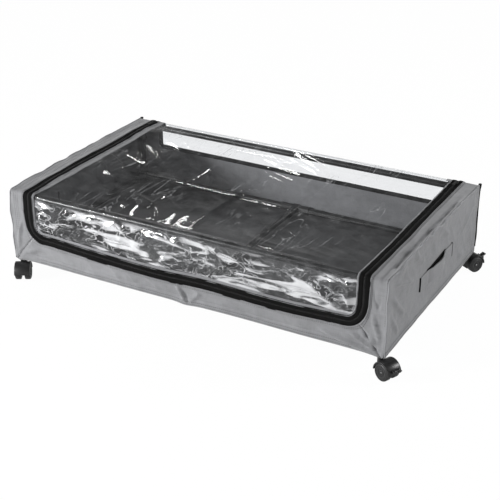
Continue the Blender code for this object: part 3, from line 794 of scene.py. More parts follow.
# rows of small items along a path
def makeRowTree():
    tree = bpy.data.node_groups.new("rowAlongPath", "GeometryNodeTree")
    face = tree.interface
    face.new_socket("Geometry", in_out="INPUT", socket_type="NodeSocketGeometry")
    for label, kind in (("Spacing", "NodeSocketFloat"), ("Item Size", "NodeSocketVector"),
                        ("Item Sides", "NodeSocketInt"), ("Finish", "NodeSocketMaterial")):
        face.new_socket(label, in_out="INPUT", socket_type=kind)
    face.new_socket("Geometry", in_out="OUTPUT", socket_type="NodeSocketGeometry")
    nodes, links = tree.nodes, tree.links
    source, sink = nodes.new("NodeGroupInput"), nodes.new("NodeGroupOutput")
    curve = nodes.new("GeometryNodeMeshToCurve")
    links.new(source.outputs["Geometry"], curve.inputs[0])
    spots = nodes.new("GeometryNodeCurveToPoints")
    spots.mode = "LENGTH"
    links.new(curve.outputs[0], spots.inputs["Curve"])
    links.new(source.outputs["Spacing"], spots.inputs["Length"])
    up = nodes.new("GeometryNodeInputNamedAttribute")
    up.data_type = "FLOAT_VECTOR"
    up.inputs["Name"].default_value = "up"
    stand = nodes.new("FunctionNodeAlignRotationToVector")
    stand.axis = "Z"
    links.new(up.outputs[0], stand.inputs["Vector"])
    turn = nodes.new("FunctionNodeAlignRotationToVector")
    turn.axis = "X"
    turn.pivot_axis = "Z"
    links.new(stand.outputs[0], turn.inputs["Rotation"])
    links.new(spots.outputs["Tangent"], turn.inputs["Vector"])
    item = nodes.new("GeometryNodeMeshUVSphere")
    item.inputs["Rings"].default_value = 4
    links.new(source.outputs["Item Sides"], item.inputs["Segments"])
    shape = nodes.new("GeometryNodeTransform")
    links.new(item.outputs[0], shape.inputs["Geometry"])
    links.new(source.outputs["Item Size"], shape.inputs["Scale"])
    copies = nodes.new("GeometryNodeInstanceOnPoints")
    links.new(spots.outputs["Points"], copies.inputs["Points"])
    links.new(shape.outputs[0], copies.inputs["Instance"])
    links.new(turn.outputs[0], copies.inputs["Rotation"])
    real = nodes.new("GeometryNodeRealizeInstances")
    links.new(copies.outputs[0], real.inputs[0])
    paint = nodes.new("GeometryNodeSetMaterial")
    links.new(real.outputs[0], paint.inputs["Geometry"])
    links.new(source.outputs["Finish"], paint.inputs["Material"])
    links.new(paint.outputs[0], sink.inputs[0])
    return tree


rowTree = makeRowTree()


def rowsAlong(name, paths, spacing, size, finish, sides=6):
    # paths is a list of (points, outward directions); size is the item's full size
    mesh = bpy.data.meshes.new(name)
    points, edges, ups = [], [], []
    for line, lifts in paths:
        first = len(points)
        points += [tuple(point) for point in line]
        ups += [tuple(lift) for lift in lifts]
        edges += [(first + i, first + i + 1) for i in range(len(line) - 1)]
    mesh.from_pydata(points, edges, [])
    attribute = mesh.attributes.new("up", "FLOAT_VECTOR", "POINT")
    attribute.data.foreach_set("vector", [value for lift in ups for value in lift])
    obj = newObject(name, mesh, [])
    modifier = obj.modifiers.new("row", "NODES")
    modifier.node_group = rowTree
    values = {"Spacing": spacing, "Item Size": [value / 2 for value in size],
              "Item Sides": sides, "Finish": finish}
    for socket in rowTree.interface.items_tree:
        if socket.in_out == "INPUT" and socket.name in values:
            modifier[socket.identifier] = values[socket.name]
    return shadedSmooth(applied(obj))


# end panels
panel = {
    "rows": 60, "columns": 160, "seamReach": 0.028,
    "foldGain": {1: 2.1, -1: 1.5},   # strength of the folds on the right and left panel
    # start, end, width and height of each fold, in the panel's own plane
    "folds": [((-0.215, 0.176), (-0.115, 0.140), 0.0042, 0.0026),
              ((-0.214, 0.150), (-0.150, 0.085), 0.0050, 0.0024),
              ((-0.215, 0.118), (-0.175, 0.060), 0.0045, 0.0018),
              ((-0.120, 0.185), (-0.060, 0.152), 0.0055, 0.0020),
              ((0.212, 0.178), (0.130, 0.128), 0.0065, 0.0018),
              ((0.205, 0.062), (0.120, 0.082), 0.0065, 0.0016),
              ((0.010, 0.186), (0.070, 0.150), 0.0060, 0.0017)],
}
hands = ((-1, "left"), (1, "right"))


def panelOutline(along, up):
    # (y, z) of an end panel's point with its rounded top front corner
    radius = cover["foldRadius"]
    z = mix(cover["base"], cover["top"] - cover["cloth"] / 2, up)
    corner = z - (sheetZ - radius)
    front = frontY
    if corner > 0:
        front += radius - math.sqrt(max(radius ** 2 - corner ** 2, 0.0))
    rear = cover["halfWidth"] - cover["cloth"] / 2
    high = z - (sheetZ - cover["rearRadius"])
    if high > 0:
        rear += math.sqrt(max(cover["rearRadius"] ** 2 - high ** 2, 0.0)) - cover["rearRadius"]
    return mix(front, rear, along), z


def rimAt(y, z):
    # run along the rim nearest to a point of the panel, and its distance from the rim
    toTop, toFront = sheetZ - z, y - frontY
    if toTop < toFront:
        return rearY - y, toTop
    return flatRun + bendRun + (sheetZ - cover["foldRadius"] - z), toFront


def panelBulge(side, y, z):
    # outward shape of an end panel
    seed = 12.0 if side > 0 else 41.0
    edge = min(smooth(0, 0.03, z - cover["base"]), smooth(0, 0.03, cover["top"] - z),
               smooth(0, 0.03, y - frontY), smooth(0, 0.03, cover["halfWidth"] - y))
    out = 0.0040 * ripple(y, z * 0.7, 9.0, seed) * edge
    out += 0.0009 * ripple(y, z, 24.0, seed + 1)
    out += 0.0013 * ridge(y * 0.8 + z * 0.6, z - y * 0.5, 22.0, 5.0, seed + 2, 8) * edge
    for start, end, width, height in panel["folds"]:
        out += crease(y, z, start, end, width, height * panel["foldGain"][side])
    if z < cover["base"] + cover["hemHeight"]:
        out += cover["hemStep"]
    return max(out, -frameRoom(cover["halfWidth"] - abs(y), min(z - cover["base"], cover["top"] - z)))


def endPanel(side, hand):
    rows, places = [], []
    steps = panel["rows"]
    for i in range(steps + 1):
        up = i / steps
        row, place = [], []
        for j in range(panel["columns"] + 1):
            y, z = panelOutline(j / panel["columns"], up)
            run, inward = rimAt(y, z)
            sideways, outward = rimWave(side, run)
            share = (1 - smooth(0.0, panel["seamReach"], inward)) ** 1.3
            lift = sheetUp(run) * outward * share
            x = side * (cover["halfLength"] - cover["cloth"] / 2 + panelBulge(side, y, z) * 0.9)
            point = Vector((x + sideways * share, y + lift.y, z + lift.z))
            row.append(settled(point))
            place.append((y, z))
        rows.append(row)
        places.append(place)
    name = "endPanel" + hand.capitalize()
    piece = clothPiece(name, rows, places, fabric, cover["cloth"], lining=liningCloth,
                       flip=side < 0)
    return keep(piece, "box", ["end_panel_" + hand])


endPanels = {hand: endPanel(side, hand) for side, hand in hands}
print("end panels made")

# strips round the lid opening: sides, corners and lower front, cut from the same sheet
strip = {
    "across": 30, "foldSeed": 7.0,
    "sideGap": 0.0106, "frontGap": 0.0092,   # from the teeth to the strip's folded edge
    "lift": 0.0019,                          # of that edge over the tape
    "foldWidth": 0.85, "foldGain": 2.3,
    # start, end, width and height of each fold on the hanging front
    "folds": [((0.390, 0.050), (0.330, 0.078), 0.0034, 0.0036),
              ((0.392, 0.056), (0.352, 0.084), 0.0030, 0.0030),
              ((0.384, 0.046), (0.270, 0.066), 0.0045, 0.0030),
              ((0.392, 0.070), (0.372, 0.120), 0.0032, 0.0026),
              ((0.386, 0.130), (0.376, 0.175), 0.0040, -0.0026),
              ((-0.390, 0.052), (-0.340, 0.075), 0.0045, 0.0022),
              ((-0.392, 0.062), (-0.376, 0.130), 0.0040, 0.0020),
              ((0.004, 0.046), (-0.020, 0.080), 0.0040, 0.0026),
              ((0.006, 0.048), (0.034, 0.074), 0.0050, 0.0018),
              ((0.010, 0.044), (-0.004, 0.070), 0.0030, -0.0016),
              ((-0.245, 0.050), (-0.140, 0.062), 0.0070, 0.0012)],
}


def stripGap(run):
    return mix(strip["sideGap"], strip["frontGap"], smooth(zipRun - 0.045, zipRun - 0.010, run))


def stripWrinkle(x, run, share):
    # wrinkles of the strips, with folds drawn to the lower corners
    height = 0.0007 * ripple(x, run, 26.0, strip["foldSeed"]) * math.sin(math.pi * min(share, 1.0))
    if run > flatRun + bendRun:
        z = sheetZ - cover["foldRadius"] - (run - flatRun - bendRun)
        height += 0.0017 * ripple(x, z, 13.0, 17.0)
        for start, end, width, lift in strip["folds"]:
            height += crease(x, z, start, end, width * strip["foldWidth"], lift * strip["foldGain"])
        height += 0.0018 * ridge(x * 0.8 + z, z - x * 0.3, 20.0, 7.0, 18.0, 7)
        hem = cover["base"] + cover["hemHeight"]
        height -= 0.0009 * math.exp(-((z - hem - 0.0022) / 0.0022) ** 2)
        if z < hem:
            height += cover["hemStep"]
    else:
        side = 1 if x > 0 else -1
        height += 0.0020 * (0.4 + ripple(x * 3, run, 16.0, 15.0 + side)) * smooth(0.02, 0.1, run)
        if side > 0:
            height -= 0.0042 * math.exp(-((abs(x) - 0.3905) / 0.0036) ** 2) * smooth(0.05, 0.15, run)
        else:
            height -= 0.0012 * math.exp(-((abs(x) - 0.391) / 0.004) ** 2)
    return height


def stripRim(spot):
    # the point of the outer seam that a point of the zipper's line runs to
    x, run, nx, nr = spot
    side = -1 if x < 0 else 1
    half = cover["halfLength"] - cover["cloth"] / 2
    turn = math.atan2(nr, abs(nx)) / (math.pi / 4)
    straight = zipRun - zipper["corner"]
    if nr == 0.0:
        return side * half, run
    if nr >= 1.0:
        return x, rimRun
    if turn <= 1:
        return side * half, mix(straight, rimRun, turn)
    return side * mix(half, zipper["x"] - zipper["corner"], turn - 1), rimRun


def stripPoint(spot, share):
    x, run, nx, nr = spot
    shift = stripGap(run) + zipWander(x, run)
    inner = (x + nx * shift, run + nr * shift)
    outer = stripRim(spot)
    px, pr = mix(inner[0], outer[0], share), mix(inner[1], outer[1], share)
    side = -1 if x < 0 else 1
    sideways, outward = rimWave(side, pr)
    edge = share ** 8 * (1 - smooth(0.0, 0.03, abs(outer[0] - side * cover["halfLength"]) - 0.001))
    height = sheetHeight(px, pr) * (1 - share) + stripWrinkle(px, pr, share) * (1 - share ** 6)
    height += strip["lift"] * (1 - smooth(0.0, 0.16, share))
    if pr > flatRun + bendRun and pr > rimRun - cover["hemHeight"]:
        height += cover["hemStep"] * share ** 6
    height = max(height + outward * edge, -sheetRoom(px, pr))
    return settled(onSheet(px + sideways * edge, pr, height)), (px, pr)


def stripPiece(name, spots):
    rows, places = [], []
    for spot in spots:
        cells = [stripPoint(spot, k / strip["across"]) for k in range(strip["across"] + 1)]
        rows.append([cell[0] for cell in cells])
        places.append([cell[1] for cell in cells])
    return clothPiece(name, rows, places, fabric, 0.0012, lining=liningCloth)


def rearTail(side, steps=6):
    # the side strips carry on over the rear edge and down
    length = rearRun + 0.006
    return [(side * zipper["x"], -length * (steps - i) / steps, side * 1.0, 0.0)
            for i in range(steps)]


allSpots = zipPath()
arcSpots = [i for i, spot in enumerate(allSpots) if spot[3] > 0.707]
firstMitre, lastMitre = arcSpots[0], arcSpots[-1]
sideStripLeft = stripPiece("sideStripLeft", rearTail(-1) + allSpots[:firstMitre + 1])
frontBand = stripPiece("frontBand", allSpots[firstMitre:lastMitre + 1])
sideStripRight = stripPiece("sideStripRight", allSpots[lastMitre:] + rearTail(1)[::-1])
for piece in (sideStripLeft, frontBand, sideStripRight):
    keep(piece, "box", ["front_wrap"])
print("strips made")

# zipper: two knitted tapes with a coil between them
tape = {
    "thickness": 0.0013, "crown": 0.0011, "teethGap": 0.0004, "lift": 0.0005,
    "toothPitch": 0.0017, "tooth": (0.0011, 0.0026, 0.0014), "toothSide": 0.0009,
    "toothLift": 0.0016, "points": 1400,
    "grooves": ((0.12, 0.05, 0.0009), (0.62, 0.035, 0.0008)),
}


def tapePiece(name, side, outerEdge, crown, spots, steps=12):
    # a ribbon beside the teeth with a rounded, grooved section
    inner, outer, lift = tape["teethGap"], outerEdge, tape["lift"]
    top = []
    for k in range(steps + 1):
        share = k / steps
        height = crown * math.sin(math.pi * min(max(share, 0.02), 0.98)) ** 0.6
        for groove, width, depth in tape["grooves"]:
            height -= depth * math.exp(-((share - groove) / width) ** 2)
        top.append((mix(inner, outer, share), height + tape["thickness"]))
    section = [(a * side, h + lift) for a, h in top]
    section += [(outer * side, lift), (inner * side, lift)]
    rings = [[besideZip(spot, offset, height) for offset, height in section] for spot in spots]
    return loft(name, rings, [tapeBlack], uvScale=0.02, sharpAngle=60)


tapeSpots = rearTail(-1)[1:] + allSpots + rearTail(1)[:0:-1]
zipTapeBox = tapePiece("zipTapeBox", 1, zipper["tape"] + 0.0002, tape["crown"], tapeSpots)
keep(zipTapeBox, "box", ["zipper_tape"])
zipTapeLid = tapePiece("zipTapeLid", -1, zipper["tape"], tape["crown"] * 0.8, allSpots)
keep(zipTapeLid, "lid")


def zipRow(name, side, phase):
    fine = zipPath(tape["points"])[2 + phase:-2]
    line = [besideZip(spot, side * tape["toothSide"], tape["toothLift"]) for spot in fine]
    ups = [sheetUp(spot[1]) for spot in fine]
    return rowsAlong(name, [(line, ups)], tape["toothPitch"], tape["tooth"], coilBlack)


keep(zipRow("zipCoilBox", 1, 0), "box")
zipCoilLid = keep(zipRow("zipCoilLid", -1, 1), "lid")
print("zipper made")

# lid: clear film with a grey strip sewn round it
lid = {
    "columns": 232, "flatRows": 128, "bendRows": 8, "frontRows": 30, "cornerRows": 8,
    "edge": 0.0118, "sag": 0.0065, "thickness": 0.0004,
    "belly": 0.0048,             # how far the front of the film stands out under the rail
    "fans": [{"root": (0.004, 0.088), "first": -70, "step": 17, "spokes": 9,
              "reach": (0.075, 0.070), "width": 0.0035, "lift": 0.0042, "dip": 0.7},
             {"root": (0.330, 0.080), "first": -88, "step": 12, "spokes": 8,
              "reach": (0.085, 0.080), "width": 0.0038, "lift": 0.0046, "dip": 0.8}],
    "packFolds": [((-0.30, 0.060), (0.315, 0.052), 0.0016, 0.0013),
                  ((-0.31, 0.255), (0.320, 0.262), 0.0018, 0.0012),
                  ((-0.115, 0.02), (-0.122, 0.43), 0.0016, 0.0010),
                  ((0.130, 0.02), (0.122, 0.43), 0.0016, 0.0012)],
}


def filmWrinkle(x, run):
    # top: long fine wrinkles fanning from the left; front: strong crumples
    top = 1 - smooth(flatRun - 0.012, flatRun + 0.002, run)
    height = 0.0
    if top > 0:
        bend = 0.05 * ripple(x, run, 5.0, 1.0)
        angle = math.radians(38 + 25 * ripple(x, run, 3.0, 2.0))
        along = (x + bend) * math.cos(angle) + run * math.sin(angle)
        across = -(x + bend) * math.sin(angle) + run * math.cos(angle)
        patch = smooth(-0.15, 0.35, ripple(x, run, 6.5, 3.0)) * smooth(0.25, -0.15, x)
        fine = 0.0013 * ridge(across, along, 34.0, 5.0, 4.0, 9) * (0.25 + patch)
        broad = 0.0020 * ripple(x, run, 7.5, 6.0)
        height += top * (fine + broad)
        for start, end, width, lift in lid["packFolds"]:
            height += top * crease(x, run, start, end, width, lift)
    down = run - flatRun - bendRun
    front = smooth(0.002, 0.020, down)
    if front > 0:
        left = smooth(0.10, -0.15, x)
        crumple = 0.0036 * ripple(x, down * 1.6, 15.0, 11.0)
        crumple += 0.0022 * ripple(x * 1.2 + down, down - x * 0.4, 34.0, 12.0) * (0.4 + 0.6 * left)
        crumple += 0.0022 * ridge(x + down * 0.7, down - x * 0.5, 26.0, 10.0, 13.0, 5) * (0.35 + left)
        streak = 0.0030 * ridge(down * 1.3 + 0.012 * ripple(x, 0, 8.0, 14.0), x, 20.0, 2.2, 15.0, 4)
        height += front * (crumple * (0.5 + 0.5 * left) + streak * (1 - 0.5 * left))
        for fan in lid["fans"]:
            for spoke in range(fan["spokes"]):
                tilt = math.radians(fan["first"] + spoke * fan["step"])
                end = (fan["root"][0] + fan["reach"][0] * math.sin(tilt),
                       fan["root"][1] - fan["reach"][1] * math.cos(tilt))
                lift = fan["lift"] * (1 if spoke % 2 else -fan["dip"])
                height += front * crease(x, down, fan["root"], end, fan["width"], lift)
        pucker = smooth(-0.305, -0.333, x) + 0.7 * smooth(0.318, 0.335, x)
        stray = 2 * ripple(x, down, 60.0, 1.0)
        height += front * pucker * 0.0018 * math.sin(down * 2 * math.pi / 0.0075 + stray)
        height += front * lid["belly"] * math.sin(math.pi * min(down / 0.085, 1.0))
    return height


def filmPoint(x, run, inside):
    edge = smooth(0.0, 0.016, inside)
    sag = topShare(run) * smooth(0.0, 0.16, inside) * lid["sag"]
    rest = -0.0010 * math.exp(-((run - flatRun + 0.004) / 0.01) ** 2)
    height = sheetHeight(x, run) - 0.0011
    if run < flatRun + bendRun:
        height += rest * edge
    height += edge * (filmWrinkle(x, run) - sag)
    if flatRun - 0.006 < run < flatRun + bendRun + 0.004:
        height = max(height, -0.0014) if abs(x) < 0.36 else height
    return onSheet(x, run, height)


def filmRows():
    depth = zipRun - lid["edge"]
    half = zipper["x"] - lid["edge"]
    radius = zipper["corner"] - lid["edge"]
    runs = [flatRun * i / lid["flatRows"] for i in range(lid["flatRows"])]
    runs += [flatRun + bendRun * i / lid["bendRows"] for i in range(lid["bendRows"])]
    lower = depth - radius
    start = flatRun + bendRun
    runs += [mix(start, lower, i / lid["frontRows"]) for i in range(lid["frontRows"] + 1)]
    runs += [lower + radius * math.sin(math.pi / 2 * i / lid["cornerRows"])
             for i in range(1, lid["cornerRows"] + 1)]
    rows, places = [], []
    for run in runs:
        wide = half
        if run > lower:
            wide -= radius - math.sqrt(max(radius ** 2 - (run - lower) ** 2, 0.0))
        row, place = [], []
        for j in range(lid["columns"] + 1):
            x = mix(-wide, wide, j / lid["columns"])
            inside = min(half - abs(x), depth - run)
            row.append(filmPoint(x, run, inside))
            place.append((x, run))
        rows.append(row)
        places.append(place)
    return rows, places


lidFilm = clothPiece("lidFilm", *filmRows(), film, lid["thickness"])
keep(lidFilm, "lid", ["lid_window"])


def borderPiece(steps=8):
    # grey strip between the tape and the film, slightly gathered
    rings = []
    for spot in zipPath(900):
        x, run = spot[0], spot[1]
        ring = []
        front = smooth(zipRun - 0.040, zipRun - 0.012, run)
        narrow = max(smooth(-0.1, 0.1, x), smooth(flatRun - 0.06, flatRun + 0.01, run))
        inner = mix(zipper["border"], 0.0140 + 0.0012 * front, narrow)
        for share in [k / steps for k in range(steps + 1)]:
            offset = mix(zipper["tape"] - 0.0010 - 0.0010 * front, inner, share)
            gather = 0.0007 * ripple(x + run, share * 0.01, 160.0, 2.0) * math.sin(math.pi * share)
            gather += 0.0009 * ripple(x, run, 45.0, 8.0)
            over = 0.0020 * (1 - smooth(0.0, 0.30, share))
            ring.append((offset, 0.0006 + over + gather + 0.0006 * math.sin(math.pi * share)))
        low = [(offset, 0.0004 - 0.0012 + height * 0.6) for offset, height in ring[::-1]]
        wave = 0.0010 * ripple(x, run, 30.0, 19.0)
        points = [besideZip(spot, -offset + wave * (offset > 0.018), height)
                  for offset, height in ring + low]
        rings.append(points)
    return loft("lidStrip", rings, [stripCloth], uvScale=0.03, sharpAngle=70)


lidStrip = keep(borderPiece(), "lid", ["lid_border"])
print("lid made")

# back of the cover, its window and the film that bends over the rear edge
rear = {
    "windowX": windowBox[1].x, "windowZ": windowBox[0].z, "across": 12,
    "windowRows": 24, "windowColumns": 200, "windowLap": 0.004,
    "binding": 0.0090,           # dark binding round the window
    "bindingProud": 0.0011,
}


def rearLines(steps=24):
    # matching points on the window's outline and on the panel's rim
    x, low, top = rear["windowX"], rear["windowZ"], cover["top"] - 0.0055
    half = cover["halfLength"] - cover["cloth"] / 2
    pairs = []
    for i in range(steps):
        z = mix(top, low, i / steps)
        pairs.append(((-x, z), (-half, mix(top, cover["base"], i / steps))))
    wide = 5 * steps
    for i in range(wide + 1):
        pairs.append(((mix(-x, x, i / wide), low), (mix(-half, half, i / wide), cover["base"])))
    for i in range(1, steps + 1):
        z = mix(low, top, i / steps)
        pairs.append(((x, z), (half, mix(cover["base"], top, i / steps))))
    return pairs


def rearHeight(x, z):
    out = 0.0014 * ripple(x, z, 10.0, 51.0) + 0.0006 * ripple(x, z, 28.0, 52.0)
    out *= smooth(0, 0.02, cover["halfLength"] - abs(x))
    out += crease(x, z, (0.01, 0.046), (0.05, 0.10), 0.006, 0.0016)
    out += crease(x, z, (-0.385, 0.05), (-0.30, 0.105), 0.006, 0.0018)
    out += crease(x, z, (0.385, 0.05), (0.32, 0.11), 0.006, 0.0018)
    if z < cover["base"] + cover["hemHeight"]:
        out += cover["hemStep"]
    return out


def rearPoint(x, z, lift=0.0):
    y = cover["halfWidth"] - cover["cloth"] / 2 + rearHeight(x, z) * 0.8 + lift
    return settled(Vector((x, y, z)))


rows, places = [], []
for inner, outer in rearLines():
    spots = [(mix(inner[0], outer[0], k / rear["across"]), mix(inner[1], outer[1], k / rear["across"]))
             for k in range(rear["across"] + 1)]
    rows.append([rearPoint(*spot) for spot in spots])
    places.append(spots)
backPanel = keep(clothPiece("backPanel", rows, places, fabric, cover["cloth"], lining=liningCloth),
                 "box", ["back_panel"])

windowRows, windowPlaces = [], []
for i in range(rear["windowRows"] + 1):
    z = mix(rear["windowZ"] - rear["windowLap"], cover["top"] - 0.0065, i / rear["windowRows"])
    row = []
    for j in range(rear["windowColumns"] + 1):
        x = mix(-rear["windowX"] - rear["windowLap"], rear["windowX"] + rear["windowLap"],
                j / rear["windowColumns"])
        free = smooth(0, 0.02, z - rear["windowZ"]) * smooth(0, 0.02, rear["windowX"] - abs(x))
        dent = -0.0024 * free * (0.6 + ripple(x, z, 8.0, 61.0))
        dent += 0.0010 * free * ridge(z * 1.4, x, 26.0, 4.0, 62.0, 5)
        row.append(Vector((x, cover["halfWidth"] - cover["cloth"] - 0.0002 + dent, z)))
    windowRows.append(row)
    windowPlaces.append([(point.x, point.z) for point in row])
backWindow = keep(clothPiece("backWindow", windowRows, windowPlaces, windowFilm, lid["thickness"],
                             flip=True), "box", ["back_window"])


def windowBinding(name, y, finish, width):
    # flat binding sewn round the window, on one face of the panel
    x, low, top = rear["windowX"], rear["windowZ"], cover["top"] - 0.0060
    line = [(-x, mix(top, low + 0.004, i / 16), -1, 0) for i in range(17)]
    line += [(-x + 0.004 - 0.004 * math.cos(a), low + 0.004 - 0.004 * math.sin(a),
              -math.cos(a), -math.sin(a)) for a in [math.pi / 2 * i / 6 for i in range(1, 7)]]
    line += [(mix(-x + 0.004, x - 0.004, i / 160), low, 0, -1) for i in range(1, 160)]
    line += [(-px, pz, -nx, nz) for px, pz, nx, nz in line[22::-1]]
    rings = []
    sign = 1 if y > 0 else -1
    for px, pz, nx, nz in line:
        ring = []
        for share, lift in ((0, 0), (0.05, 0.7), (0.3, 1.0), (0.7, 1.0), (0.95, 0.7), (1, 0)):
            off = -0.0015 + share * width
            qx, qz = px + nx * off, pz + nz * off
            base = rearPoint(qx, qz)
            ring.append(base + Vector((0, sign * (cover["cloth"] / 2 + lift * rear["bindingProud"]), 0)))
        rings.append(ring)
    return loft(name, rings, [finish], uvScale=0.02, sharpAngle=60)


bindingOut = keep(windowBinding("windowBindingOutside", 1, bindingBlack, rear["binding"]), "box")
bindingIn = keep(windowBinding("windowBindingInside", -1, bindingBlack, rear["binding"]), "box")


def hingeStrip(name, low, high, finish, columns, thickness, slot, lift=0.0):
    # sheet that joins the lid to the back over the rear edge
    rows, places = [], []
    runs = [-rearRun - 0.0090 + (rearRun + 0.0090 + 0.0085) * i / 22 for i in range(23)]
    for run in runs:
        row = []
        for j in range(columns + 1):
            x = mix(low, high, j / columns)
            slack = 0.0005 * ripple(x, run, 30.0, 71.0) if run > 0 else 0.0
            row.append(onSheet(x, run, lift + slack))
        rows.append(row)
        places.append([(point.x, run) for point in row])
    piece = clothPiece(name, rows, places, finish, thickness)
    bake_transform(piece)
    return piece


filmHalf = zipper["x"] - lid["edge"]
hingeFilm = hingeStrip("hingeFilm", -filmHalf, filmHalf, film, 150, lid["thickness"], "clear_sheet",
                       lift=0.0004)
for side, hand in ((-1, "Left"), (1, "Right")):
    spans = ((zipper["tape"] - 0.001, zipper["border"], stripCloth, "cover_fabric", "Strip"),
             (tape["teethGap"], zipper["tape"], tapeBlack, "zipper", "Tape"))
    for near, far, finish, slot, label in spans:
        ends = sorted((side * (zipper["x"] - near), side * (zipper["x"] - far)))
        hingeStrip(f"hinge{label}{hand}", *ends, finish, 6, 0.0009, slot,
                                      lift=0.0009)
print("back made")

# floor of the cover, seen through the lid
bottom = {"rows": 96, "columns": 160, "sag": 0.0042, "lowest": 0.0052}
floorRows, floorPlaces = [], []
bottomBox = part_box("bottom_panel")
for i in range(bottom["rows"] + 1):
    y = mix(bottomBox[0].y, bottomBox[1].y, i / bottom["rows"])
    row = []
    for j in range(bottom["columns"] + 1):
        x = mix(bottomBox[0].x, bottomBox[1].x, j / bottom["columns"])
        free = smooth(0, 0.04, y - bottomBox[0].y) * smooth(0, 0.04, bottomBox[1].y - y)
        free *= smooth(0, 0.04, x - bottomBox[0].x) * smooth(0, 0.04, bottomBox[1].x - x)
        free *= smooth(0.004, 0.05, abs(x))
        sag = -bottom["sag"] * free + 0.0016 * free * ripple(x, y, 8.0, 81.0)
        sag += 0.0008 * free * ridge(x + y * 0.3, y, 14.0, 3.0, 82.0, 6)
        row.append(Vector((x, y, bottomBox[0].z + cover["cloth"] / 2 + max(sag, -bottom["lowest"]))))
    floorRows.append(row)
    floorPlaces.append([(point.x, point.y) for point in row])
bottomCloth = clothPiece("bottomCloth", floorRows, floorPlaces, liningCloth, cover["cloth"],
                         lining=fabric)
keep(bottomCloth, "box", ["bottom_panel"])

# piping along the end panels' seams and a black strip standing out behind each rear corner
piping = {"radius": 0.0011, "out": 0.0006, "step": 0.0035}
binding = {"steps": 44, "sides": 10}


def rimPoint(side, run, out):
    sideways, outward = rimWave(side, run)
    point = onSheet(side * (cover["halfLength"] - cover["cloth"] / 2) + sideways, run,
                    outward + out)
    return settled(point)


def sewnEdges():
    for side, hand in ((-1, "Left"), (1, "Right")):
        runs = [i * piping["step"] for i in range(int(rimRun / piping["step"]))]
        path = [rimPoint(side, run, piping["out"]) + Vector((side * piping["out"], 0, 0))
                for run in runs]
        ups = [sheetUp(run) for run in runs]
        cord = cordPiece("piping" + hand, path, ups, piping["radius"], pipingCloth)
        keep(cord, "box")
        # black strip down each rear corner, standing out furthest near its foot and its top
        rings = []
        x = side * (cover["halfLength"] - cover["cloth"] / 2)
        for i in range(binding["steps"] + 1):
            share = i / binding["steps"]
            z = mix(cover["base"] + cover["hemHeight"], cover["top"] + 0.0002, share)
            low = math.exp(-((share - 0.18) / 0.20) ** 2)
            high = math.exp(-((share - 1.0) / 0.07) ** 2)
            proud = 0.0046 + 0.0040 * low + 0.0034 * high
            thick = 0.0022 + 0.0012 * high
            wave = 0.0010 * ripple(z, side, 30.0, 91.0)
            middle = settled(Vector((x + wave, cover["halfWidth"] - 0.0012, z)))
            ring = []
            for k in range(binding["sides"]):
                angle = 2 * math.pi * k / binding["sides"]
                ring.append(middle + Vector((thick * math.cos(angle),
                                             proud * (0.5 + 0.5 * math.sin(angle)), 0)))
            rings.append(ring)
        keep(loft("rearBinding" + hand, rings, [bindingBlack], uvScale=0.012), "box")


sewnEdges()
print("seams made")

# sewing
seam = {"spacing": 0.0042, "size": (0.0030, 0.0011, 0.0007)}


def panelLine(side, z, y0, y1, steps=139):
    line, ups = [], []
    for i in range(steps + 1):
        y = mix(y0, y1, i / steps)
        x = side * (cover["halfLength"] + panelBulge(side, y, z) * 0.9 + 0.0003)
        line.append(settled(Vector((x, y, z))))
        ups.append(Vector((side, 0, 0)))
    return line, ups


def coverSewing():
    rows = []
    base, hem = cover["base"], cover["hemHeight"]
    edge = cover["halfWidth"] - 0.004
    for side in (-1, 1):
        for z in (base + hem - 0.0016, base + 0.0035):
            rows.append(panelLine(side, z, -edge, edge))
    for z in (base + hem - 0.0016, base + 0.0045):
        run = rimRun - (z - base)
        front = [stripPoint(spot, (run - spot[1]) / (rimRun - spot[1]))[0] + Vector((0, -0.0009, 0))
                 for spot in allSpots[firstMitre + 6:lastMitre - 5]]
        back = [rearPoint(mix(-0.392, 0.392, i / 260), z, cover["cloth"] / 2 + 0.0003)
                for i in range(261)]
        rows.append((front, [Vector((0, -1, 0))] * len(front)))
        rows.append((back, [Vector((0, 1, 0))] * len(back)))
    return rows


sewing = keep(rowsAlong("coverStitches", coverSewing(), seam["spacing"], seam["size"], threadFinish),
              "box")


def zipSewing(offsets, share):
    rows = []
    fine = zipPath(900)[3:-3]
    for offset in offsets:
        line = [besideZip(spot, offset, share) for spot in fine]
        rows.append((line, [sheetUp(spot[1]) for spot in fine]))
    return rows


lidSewing = keep(rowsAlong("lidStitches", zipSewing((-0.0124,), 0.0030), seam["spacing"],
                           seam["size"], threadPale), "lid")


def stripSewing():
    rows = []
    ends = [spot for spot in allSpots[3:-3] if spot[0] < -zipper["x"] + 0.001]
    lines = [(0.05, allSpots[3:-3]), (0.13, allSpots[3:-3])]
    lines += [(share, ends) for share in (0.46, 0.60, 0.74)]
    # painted shade: a row of dark stitches along the right seam stands in for the shadow groove beside
    # the piping
    lines.append((0.93, [spot for spot in allSpots[3:-3] if spot[0] > zipper["x"] - 0.001]))
    for share, spots in lines:
        line = [stripPoint(spot, share)[0] + sheetUp(spot[1]) * 0.0007 for spot in spots]
        rows.append((line, [sheetUp(spot[1]) for spot in spots]))
    return rows


stripStitches = keep(rowsAlong("stripStitches", stripSewing(), seam["spacing"], seam["size"],
                               threadFinish), "box")
print("sewing made")

# carrying handles: a webbing strip sewn flat at both ends
handle = {
    "patch": 0.038, "thickness": 0.0017, "bow": 0.0066, "stitch": (0.0026, 0.0007, 0.0006),
}


def handlePath(steps=120):
    low, high = handleBox[0].y, handleBox[1].y
    free = (high - low) / 2 - handle["patch"]
    path = []
    for i in range(steps + 1):
        y = mix(low, high, i / steps)
        bow = 0.0
        if abs(y) < free:
            bow = handle["bow"] * math.sin(math.pi * (y + free) / (2 * free)) ** 0.8
            bow *= 1 + 0.12 * math.sin(y * 90)
        path.append((y, bow))
    return path


